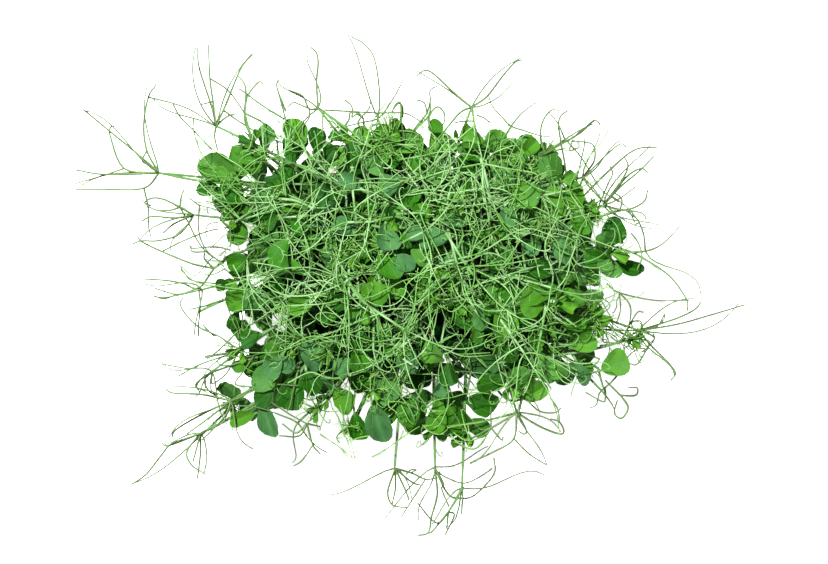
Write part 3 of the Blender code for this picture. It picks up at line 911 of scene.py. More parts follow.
def makePeaSkin():
    look = peaColours
    skin = Finish("peaSkin", Specular_IOR_Level=0.5)
    place = skin.add("ShaderNodeTexCoord", None, None, "Object")
    tone = skin.add("ShaderNodeAttribute", {"attribute_name": "tone"}, None, "Fac")
    stops = list(zip(look["tonePlaces"], (look["brown"], look["orange"], look["tan"], look["olive"])))
    base = skin.add("ShaderNodeValToRGB", {"stops": stops}, {0: tone})
    speck = skin.noise(place, look["speckScale"], 3)
    wrinkle = skin.noise(place, look["wrinkleScale"], 4, 0.6)
    colour = skin.mixed(base, look["brown"], speck.between(*look["speckRange"]) * look["speckShare"])
    colour = skin.mixed(colour, look["tan"], wrinkle.between(*look["wrinkleRange"]) * look["wrinkleShare"])
    return skin.show(look, colour, wrinkle, wrinkle)


rootColours = {
    "white": tint(226, 214, 182),
    "tan": tint(178, 150, 104),
    "patchScale": 78,
    "patchRange": (0.4, 0.65),
    "fineScale": 1560,
    "roughness": (0.6, 0.2),
    "relief": 0.06 * mm,
}
matColours = {
    "white": tint(226, 214, 182),
    "tan": tint(178, 150, 104),
    "brown": tint(132, 106, 70),
    "warpScale": 60,
    "warpShare": 0.02,
    "fibreScale": 420,
    "fibreRange": (0.02, 0.16),
    "patchScale": 104,
    "patchRange": (0.3, 0.7),
    "patchRelief": 0.4,
    "strandShares": {"matSkin": 0.75, "beddingSkin": 0.15},
    "roughness": (0.75, 0.15),
    "relief": 0.5 * mm,
}


def makeRootSkin():
    look = rootColours
    skin = Finish("rootSkin", Specular_IOR_Level=0.3)
    place = skin.add("ShaderNodeTexCoord", None, None, "Object")
    patch = skin.noise(place, look["patchScale"], 4)
    fine = skin.noise(place, look["fineScale"], 2)
    colour = skin.mixed(look["white"], look["tan"], patch.between(*look["patchRange"]))
    return skin.show(look, colour, patch, fine)


def makeMatSkin(name):
    look = matColours
    skin = Finish(name, Specular_IOR_Level=0.2)
    place = skin.add("ShaderNodeTexCoord", None, None, "Object")
    warp = skin.noise(place, look["warpScale"], 2)
    netSockets = {"Vector": skin.mixed(place, warp, look["warpShare"]), "Scale": look["fibreScale"]}
    fibres = skin.add("ShaderNodeTexVoronoi", {"feature": "DISTANCE_TO_EDGE"}, netSockets, "Distance")
    patch = skin.noise(place, look["patchScale"], 4)
    strand = 1 - fibres.between(*look["fibreRange"])
    colour = skin.mixed(look["brown"], look["tan"], patch.between(*look["patchRange"]))
    colour = skin.mixed(colour, look["white"], strand * look["strandShares"][name])
    return skin.show(look, colour, patch, strand + look["patchRelief"] * patch)


skins = {
    "leaf": makeLeafSkin(),
    "thread": makeThreadSkin("threadSkin", threadColours),
    "outer": makeThreadSkin("outerSkin", outerColours),
    "hook": makeThreadSkin("hookSkin", hookColours),
    "young": makeThreadSkin("youngSkin", youngColours),
    "stem": makeStemSkin(),
    "bud": makeBudSkin(),
    "pea": makePeaSkin(),
    "root": makeRootSkin(),
    "mat": makeMatSkin("matSkin"),
    "bedding": makeMatSkin("beddingSkin"),
}
print(f"mixed {len(skins)} finishes")


# What every piece is made with


shared = {
    "doubles": 0.001 * mm,
    "leafSmoothing": math.radians(50),
    "blockSmoothing": math.radians(60),
    "stemSides": 8,
    "stalkSides": 6,
    "threadSides": 4,
}


def chosen(*objects):
    bpy.ops.object.select_all(action="DESELECT")
    for each in objects:
        each.select_set(True)
    bpy.context.view_layer.objects.active = objects[0]


def joined(objects, name):
    chosen(*objects)
    if len(objects) > 1:
        bpy.ops.object.join()
    piece = bpy.context.object
    piece.name = name
    piece.data.name = name
    return piece


def placedObject(name, data):
    placed = bpy.data.objects.new(name, data)
    bpy.context.scene.collection.objects.link(placed)
    return placed


def setTone(mesh, tone):
    # the place of a leaf or pea on its finish's colour ramp
    tones = mesh.attributes.new("tone", "FLOAT", "POINT")
    tones.data.foreach_set("value", [tone] * len(mesh.vertices))


def closedSeams(piece):
    chosen(piece)
    bpy.ops.object.mode_set(mode="EDIT")
    bpy.ops.mesh.select_all(action="SELECT")
    bpy.ops.mesh.remove_doubles(threshold=shared["doubles"])
    bpy.ops.object.mode_set(mode="OBJECT")


def makeTubes(name, paths, sides, skin):
    # round tubes along paths of points and radii, as one mesh with closed ends
    curve = bpy.data.curves.new(name, "CURVE")
    curve.dimensions = "3D"
    curve.bevel_depth = 1
    curve.bevel_resolution = (sides - 4) // 2
    curve.use_fill_caps = True
    for points, radii in paths:
        spline = curve.splines.new("POLY")
        spline.points.add(len(points) - 1)
        for corner, point, radius in zip(spline.points, points, radii):
            corner.co = (*point, 1)
            corner.radius = radius
        spline.use_smooth = True
    curve.materials.append(skins[skin])
    tubes = placedObject(name, curve)
    chosen(tubes)
    bpy.ops.object.convert(target="MESH")
    closedSeams(tubes)
    return tubes


def tapered(points, radii):
    # the path and the radius at each of its points
    last = len(points) - 1
    return points, [radii[0] + (radii[1] - radii[0]) * i / last for i in range(last + 1)]


# The leaf blade that every stipule is a copy of: u runs out from the shoot and v towards the leaf's side

leafBlade = {
    "cells": {"fine": 10, "plain": 7},
    "thickness": 0.45 * mm,
    "wave": 0.055,
    "waves": 3,
    "ripple": 0.028,
    "ripples": 8,
    "rimReach": 1.2,
    "freeFrom": 1 / 3,
    "foldWidth": 0.08,
    "teeth": 0.016,
    "toothCount": 13,
    "lobes": 0.07,
    "lobeCount": 3,
    "crumple": 0.05,
    "crumpleFrom": 0.25,
    "crumpleScale": 4,
    "crumpleSeeds": 9,
    "middle": Vector((0.53, 0.0)),
    "edge": (
        (1.0, -0.04), (0.96, 0.25), (0.76, 0.45), (0.42, 0.43), (0.12, 0.22),
        (0.0, 0.05), (0.0, -0.05), (0.18, -0.30), (0.53, -0.47), (0.85, -0.36),
    ),
}


def smoothPlace(a, b, c, d, s):
    # on a smooth line through four corners, from the second to the third
    bend = (2 * a - 5 * b + 4 * c - d) * s**2 + (3 * b - a - 3 * c + d) * s**3
    return 0.5 * (2 * b + (c - a) * s + bend)


def smoothLoop(corners, t):
    # a smooth closed line through the corners, where t runs round from 0 to 1
    count = len(corners)
    whole = math.floor(t * count)
    return smoothPlace(*[Vector(corners[(whole + k) % count]) for k in (-1, 0, 1, 2)], t * count - whole)


def smoothLine(corners, steps):
    # a smooth open line through the corners, with steps between each two
    before = 2 * corners[0] - corners[1]
    after = 2 * corners[-1] - corners[-2]
    padded = [before, *corners, after]
    points = []
    for k in range(len(corners) - 1):
        points += [smoothPlace(*padded[k:k + 4], i / steps) for i in range(steps)]
    return points + [corners[-1]]


def makeBlade(cellsAcross):
    bpy.ops.mesh.primitive_grid_add(x_subdivisions=cellsAcross, y_subdivisions=cellsAcross, size=2)
    blade = bpy.context.object
    for vertex in blade.data.vertices:
        a, b, _ = vertex.co
        x = a * math.sqrt(1 - b * b / 2)
        y = b * math.sqrt(1 - a * a / 2)
        turn = math.atan2(y, x) / (2 * math.pi) % 1
        edge = smoothLoop(leafBlade["edge"], turn)
        place = leafBlade["middle"].lerp(edge, math.hypot(x, y))
        vertex.co = (*place, 0)
    uvMap = blade.data.uv_layers.active
    for loop in blade.data.loops:
        place = blade.data.vertices[loop.vertex_index].co
        uvMap.data[loop.index].uv = (place.x, place.y + 0.5)
    bpy.ops.object.modifier_add(type="SOLIDIFY")
    blade.modifiers[0].thickness = 1
    blade.modifiers[0].offset = 0
    bpy.ops.object.modifier_apply(modifier=blade.modifiers[0].name)
    under = blade.data.attributes.new("under", "FLOAT", "POINT")
    under.data.foreach_set("value", [float(vertex.co.z < 0) for vertex in blade.data.vertices])
    blade.data.materials.append(skins["leaf"])
    bpy.ops.object.shade_smooth_by_angle(angle=shared["leafSmoothing"])
    return blade


blades = {kind: makeBlade(cellsAcross) for kind, cellsAcross in leafBlade["cells"].items()}


def placeBlade(seat, outward, front, up, shape, source, kind="fine", skin="leaf"):
    # one copy of the blade; shape holds its length, width, rise, droop, cup and tone
    look = leafBlade
    copy = blades[kind].data.copy()
    length = shape["length"]
    phase = between(source, 0, 2 * math.pi)
    tilt = math.cos(shape["rise"])
    for vertex in copy.vertices:
        u, v, w = vertex.co
        fromMiddle = Vector((u, v)) - look["middle"]
        free = min(look["rimReach"], fromMiddle.length * 2) ** 3 * min(1, max(0, u) / look["freeFrom"])
        turn = math.atan2(fromMiddle.y, fromMiddle.x)
        tooth = look["teeth"] * free * math.sin(look["toothCount"] * turn + phase)
        tooth += look["lobes"] * free * math.sin(look["lobeCount"] * turn - phase)
        u += fromMiddle.x * tooth
        v += fromMiddle.y * tooth
        lift = u * math.sin(shape["rise"]) - shape["droop"] * u * u
        lift += shape["cup"] * (math.hypot(v, look["foldWidth"]) - look["foldWidth"])
        lift += look["wave"] * math.sin(look["waves"] * turn + phase) * free
        lift += look["ripple"] * math.sin(look["ripples"] * turn - 2 * phase) * free
        grain = Vector((u * look["crumpleScale"], v * look["crumpleScale"], phase * look["crumpleSeeds"]))
        lift += look["crumple"] * noise.noise(grain) * min(1, max(0, u) / look["crumpleFrom"])
        offset = outward * (u * length * tilt) + front * (v * length * shape["width"])
        vertex.co = seat + offset + up * (length * lift + w * look["thickness"])
    setTone(copy, shape["tone"])
    if skin != "leaf":
        copy.materials[0] = skins[skin]
    return placedObject("blade", copy)


# Tendrils: a hub's main ones, each with side branches that curl at the end

tendril = {
    "radii": (0.46 * mm, 0.28 * mm),
    "branchRadii": (0.34 * mm, 0.22 * mm),
    "steps": 13,
    "branchSteps": 11,
    "lastStride": 0.35,
    "branchPlaces": (0.2, 0.7),
    "branchAngle": (0.4, 1.0),
    "branchLength": (0.35, 0.85),
    "branchShortening": 0.4,
    "twigShare": 0.35,
    "twigScale": 0.8,
    "arc": (0.2, 1.1),
    "curl": (0.4, 3.8),
    "curlGrowth": 4,
    "twist": 0.7,
    "rebound": 0.4,
    "hookLength": (8 * mm, 17 * mm),
    "hookSteps": 7,
    "hookCurl": (1.0, 4.5),
    "lowest": 38 * mm,
    "highest": 158 * mm,
    "margin": 12 * mm,
}
crown = {
    "middle": Vector((0, -8 * mm, 0)),
    "reach": (116 * mm, 78 * mm),
    "tendrilReach": (1.28, 1.1),
    "corner": 3,
}
limitLow = Vector(cadBox[0]) - Vector((1, 1, 0)) * tendril["margin"]
limitHigh = Vector(cadBox[1]) + Vector((1, 1, 0)) * tendril["margin"]


def anyWay(source):
    while True:
        way = Vector([between(source, -1, 1) for _ in range(3)])
        if rule["shortestDraw"] < way.length < 1:
            return way.normalized()


def curlingPath(start, way, length, steps, source, curl=None):
    # a line that leaves along way, bows gently and curls up at its end
    heading = way.normalized()
    axis = heading.cross(anyWay(source)).normalized()
    arc = between(source, *tendril["arc"])
    curl = between(source, *tendril["curl"]) if curl is None else curl
    twist = between(source, -tendril["twist"], tendril["twist"])
    last = tendril["lastStride"]
    points = [start.copy()]
    for i in range(steps):
        t = (i + 0.5) / steps
        turn = (arc + tendril["curlGrowth"] * curl * t**3) / steps
        heading = Quaternion(axis, turn) @ heading
        axis = Quaternion(heading, twist / steps) @ axis
        stride = 2 * length / steps * (1 - (1 - last) * t) / (1 + last)
        after = points[-1] + heading * stride
        if after.z < tendril["lowest"] or after.z > tendril["highest"]:
            heading.z *= -tendril["rebound"]
            heading.normalize()
            after = points[-1] + heading * stride
        points.append(after)
    return points


def hooked(points, source):
    # the line with a curl added at its end
    length = between(source, *tendril["hookLength"])
    curl = between(source, *tendril["hookCurl"])
    added = curlingPath(points[-1], points[-1] - points[-2], length, tendril["hookSteps"], source, curl)
    return points + added[1:] if isInside(added) else points


def isOverCrown(point, spread=(1, 1)):
    # whether the point is over the dense middle, whose plan is a rounded rectangle
    away = point - crown["middle"]
    across, deep = (abs(away[k]) / (crown["reach"][k] * spread[k]) for k in (0, 1))
    return across ** crown["corner"] + deep ** crown["corner"] < 1


def isInside(points):
    return all(limitLow[k] <= point[k] <= limitHigh[k] for point in points for k in (0, 1))


def addBranches(paths, points, length, count, source, isMain=True):
    # side branches along a tendril, some of them with a twig of their own
    for _ in range(count):
        t = between(source, *tendril["branchPlaces"])
        k = int(t * (len(points) - 2))
        along = (points[k + 1] - points[k]).normalized()
        spin = Quaternion(along, between(source, 0, 2 * math.pi))
        aside = spin @ along.orthogonal().normalized()
        swing = between(source, *tendril["branchAngle"])
        way = along * math.cos(swing) + aside * math.sin(swing)
        reach = length * between(source, *tendril["branchLength"]) * (1 - tendril["branchShortening"] * t)
        branch = curlingPath(points[k], way, reach, tendril["branchSteps"], source)
        if not isOverCrown(branch[-1], crown["tendrilReach"]):
            continue
        scale = 1 if isMain else tendril["twigScale"]
        paths.append(tapered(branch, [radius * scale for radius in tendril["branchRadii"]]))
        if isMain and source.random() < tendril["twigShare"]:
            addBranches(paths, branch, reach, 1, source, False)


def addTendril(paths, start, way, length, branches, source):
    points = curlingPath(start, way, length, tendril["steps"], source)
    if isOverCrown(points[-1], crown["tendrilReach"]):
        paths.append(tapered(points, tendril["radii"]))
        addBranches(paths, points, length, branches, source)


# The shoots that stand for the solids

shoot = {
    "stemSteps": 14,
    "stalkSteps": 8,
    "stalkRadii": (1.0 * mm, 0.72 * mm),
    "threadSteps": 10,
    "mainBranches": (1, 2),
    "extraTendrils": (0, 1),
    "extraHeading": 0.8,
    "extraLength": (36 * mm, 74 * mm),
    "extraBranches": (0, 1),
    "outerScale": 1.3,
    "upperTones": (0.25, 0.95),
    "lowerTones": (0.0, 0.8),
}
tipBud = {
    "blades": 3,
    "bladeTurn": 2.4,
    "bladeSwing": (-0.3, 0.3),
    "bladeStep": 1.2 * mm,
    "firstStep": -1.5,
    "length": (7 * mm, 12 * mm),
    "width": 0.7,
    "rise": (0.3, 1.0),
    "droop": (-0.2, 0.3),
    "cup": (0.7, 1.5),
    "tones": (0.35, 0.7),
    "tufted": 0.3,
    "threads": (4, 8),
    "tuftThreads": (14, 22),
    "threadHeading": 0.6,
    "threadLength": (12 * mm, 30 * mm),
    "threadRadii": (0.36 * mm, 0.2 * mm),
    "curl": (1.5, 6),
    "steps": 11,
}


def stemTube(root, stem, radii):
    return tapered([root] + pathOf(stem, shoot["stemSteps"]), radii)


def addTuft(threads, tip, way, count, source, size=1.0):
    # young tendrils that curl round each other
    for _ in range(count):
        heading = (way * tipBud["threadHeading"] + anyWay(source)).normalized()
        length = between(source, *tipBud["threadLength"]) * size
        points = curlingPath(tip, heading, length, tipBud["steps"], source, between(source, *tipBud["curl"]))
        if isInside(points):
            threads.append(tapered(points, tipBud["threadRadii"]))


def addTipBud(parts, threads, stem, source, size=1.0):
    # the shoot's end: folded young stipules round a tuft of young tendrils
    tip = stem[3]
    way = (stem[3] - stem[2]).normalized()
    across = way.orthogonal().normalized()
    for k in range(tipBud["blades"]):
        turn = tipBud["bladeTurn"] * k + between(source, *tipBud["bladeSwing"])
        outward = Quaternion(way, turn) @ across
        front = way.cross(outward)
        shape = {
            "length": between(source, *tipBud["length"]) * size,
            "width": tipBud["width"],
            "rise": between(source, *tipBud["rise"]),
            "droop": between(source, *tipBud["droop"]),
            "cup": between(source, *tipBud["cup"]),
            "tone": between(source, *tipBud["tones"]),
        }
        seat = tip + way * (k + tipBud["firstStep"]) * tipBud["bladeStep"]
        skin = "bud" if k == tipBud["blades"] - 1 else "leaf"
        parts.append(placeBlade(seat, outward, front, way, shape, source, "plain", skin))
    isTufted = source.random() < tipBud["tufted"]
    count = source.randint(*tipBud["tuftThreads" if isTufted else "threads"])
    addTuft(threads, tip, way, count, source, size)


def dressStipule(placed, order, source):
    place, up, side, hand, length, rise, droop = placed
    front = squaredTo(side, up)
    outward = up.cross(front) * hand
    tones = shoot["upperTones"] if order >= rule["lowestLeaf"] else shoot["lowerTones"]
    shape = {
        "length": length,
        "width": rule["bladeWidthShare"],
        "rise": rise,
        "droop": droop,
        "cup": rule["stipuleCup"],
        "tone": between(source, *tones),
    }
    return placeBlade(place, outward, front, up, shape, source)


def dressLeaf(paths, stalks, cell, order, source):
    # a leaf stalk with its tendrils, and the finer ones that the solid leaves out
    stalk = courses["stalk", cell, order]
    stalks.append(tapered(pathOf(stalk, shoot["stalkSteps"]), shoot["stalkRadii"]))
    way = (stalk[3] - stalk[2]).normalized()
    for index in range(rule["tendrils"]):
        thread = courses.get(("thread", cell, order, index))
        if not thread:
            continue
        points = pathOf(thread, shoot["threadSteps"])
        points[0] = stalk[3]
        line = points if isLeaning(cell, order) else hooked(points, source)
        paths.append(tapered(line, tendril["radii"]))
        if not isLeaning(cell, order):
            branches = source.randint(*shoot["mainBranches"])
            addBranches(paths, points, (thread[3] - thread[0]).length, branches, source)
    if isLeaning(cell, order):
        return
    for _ in range(source.randint(*shoot["extraTendrils"])):
        heading = (way * shoot["extraHeading"] + anyWay(source)).normalized()
        length = between(source, *shoot["extraLength"])
        addTendril(paths, stalk[3], heading, length, source.randint(*shoot["extraBranches"]), source)


def dressShoot(cell):
    source = draw("dress", *cell)
    stem = courses["stem", cell]
    parts = []
    stalks = []
    threads = []
    outer = []
    young = []
    for order in range(len(rule["nodePlaces"])):
        for hand in (1, -1):
            placed = courses.get(("stipule", cell, order, hand))
            if placed:
                parts.append(dressStipule(placed, order, source))
        if ("stalk", cell, order) in courses:
            dressLeaf(outer if isLeaning(cell, order) else threads, stalks, cell, order, source)
    outer = [(points, [radius * shoot["outerScale"] for radius in radii]) for points, radii in outer]
    addTipBud(parts, young, stem, source)
    stemPath = stemTube(rootOf(cell), stem, rule["stemRadii"])
    parts.append(makeTubes("stem", [stemPath], shared["stemSides"], "stem"))
    parts.append(makeTubes("stalks", stalks, shared["stalkSides"], "stem"))
    for skin, paths in (("thread", threads), ("outer", outer), ("young", young)):
        if paths:
            parts.append(makeTubes(skin, paths, shared["threadSides"], skin))
    piece = joined(parts, nodeNameOf(cell).replace("shoot", "peaShoot"))
    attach(piece, "root")
    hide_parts(nodeNameOf(cell))


for cell in cells:
    dressShoot(cell)
print(f"dressed {len(cells)} shoots")


# The slender shoots between them

fill = {
    "shoots": 44,
    "pieces": 6,
    "spread": 0.93,
    "sway": (8 * mm, 54 * mm),
    "swayShrink": 0.8,
    "height": (68 * mm, 116 * mm),
    "sag": 0.35,
    "slant": (0.2, 0.9),
    "radii": (1.05 * mm, 0.8 * mm),
    "nodes": (0.45, 0.66, 0.88),
    "uprightness": 0.8,
    "nodeTurn": (-0.4, 0.4),
    "leafLength": (15 * mm, 24 * mm),
    "leafWidth": (0.7, 0.95),
    "leafRise": (-0.2, 0.9),
    "leafDroop": (0, 0.5),
    "leafCup": (0.05, 1.0),
    "leafTones": (0.0, 0.95),
    "stalkRise": (0.2, 1.0),
    "stalk": (18 * mm, 42 * mm),
    "stalkBow": 0.08,
    "stalkSteps": 6,
    "stalkRadii": (0.8 * mm, 0.6 * mm),
    "stalked": 2,
    "budSize": 0.8,
    "tendrils": (0, 2),
    "tendrilHeading": 0.7,
    "tendrilLength": (36 * mm, 78 * mm),
    "branches": (1, 2),
}


def fillStem(k):
    source = draw("fill", k)
    u = fill["spread"] * between(source, -1, 1)
    v = fill["spread"] * between(source, -1, 1)
    root = bedPoint(u, v, 1, rule["stemFoot"])
    foot = root + straightUp(rule["stemStraight"])
    sway = anyWay(source)
    out = (Vector((sway.x, sway.y, 0)) + Vector((foot.x, foot.y, 0)) * rule["outwardPull"]).normalized()
    sway = between(source, *fill["sway"])
    while not isOverCrown(foot + out * sway):
        sway *= fill["swayShrink"]
    tip = foot + out * sway
    tip.z = between(source, *fill["height"]) - sway * fill["sag"]
    lean = (out * between(source, *fill["slant"]) + straightUp(1)).normalized()
    return root, bentStem(foot, tip, lean)


def dressFill(k, parts, stems, threads, young):
    source = draw("dress fill", k)
    root, stem = fillStem(k)
    stems.append(stemTube(root, stem, fill["radii"]))
    turn = between(source, 0, 2 * math.pi)
    for order, t in enumerate(fill["nodes"]):
        place, up = stemPlace(stem, t)
        up = (up + straightUp(fill["uprightness"])).normalized()
        turn += math.pi + between(source, *fill["nodeTurn"])
        side = levelWay(turn)
        front = squaredTo(side, up)
        for hand in (1, -1):
            shape = {
                "length": between(source, *fill["leafLength"]),
                "width": between(source, *fill["leafWidth"]),
                "rise": between(source, *fill["leafRise"]),
                "droop": between(source, *fill["leafDroop"]),
                "cup": between(source, *fill["leafCup"]) ** 2,
                "tone": between(source, *fill["leafTones"]),
            }
            parts.append(placeBlade(place, up.cross(front) * hand, front, up, shape, source, "plain"))
        if order < fill["stalked"]:
            continue
        way = (side + straightUp(between(source, *fill["stalkRise"]))).normalized()
        end = place + way * between(source, *fill["stalk"])
        end.z = min(end.z, rule["highestHub"])
        stalk = bowedStalk(place, end, (end - place).length * fill["stalkBow"])
        stems.append(tapered(pathOf(stalk, fill["stalkSteps"]), fill["stalkRadii"]))
        for _ in range(source.randint(*fill["tendrils"])):
            heading = (end - stalk[2]).normalized() * fill["tendrilHeading"] + anyWay(source)
            length = between(source, *fill["tendrilLength"])
            branches = source.randint(*fill["branches"])
            addTendril(threads, end, heading.normalized(), length, branches, source)
    addTipBud(parts, young, stem, source, fill["budSize"])


def finishShoots(name, parts, stems, threads, young, threadSkin="thread"):
    parts.append(makeTubes("stems", stems, shared["stalkSides"], "stem"))
    for skin, paths in ((threadSkin, threads), ("young", young)):
        if paths:
            parts.append(makeTubes(skin, paths, shared["threadSides"], skin))
    piece = joined(parts, name)
    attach(piece, "root")


for group in range(fill["pieces"]):
    parts = []
    stems = []
    threads = []
    young = []
    for k in range(group, fill["shoots"], fill["pieces"]):
        dressFill(k, parts, stems, threads, young)
    finishShoots(f"slenderShoots_{group + 1}", parts, stems, threads, young)
print(f"grew {fill['shoots']} slender shoots between them")


# What shows at the outline and over the middle, laid out as in the photo, in millimetres in plan.
# Stalks go from end to end. A leaf has its seat, heading in degrees, length, width share and tone.
# Tendrils stand in sprays, after the height of the hub: x and y of each corner, the first where it starts.

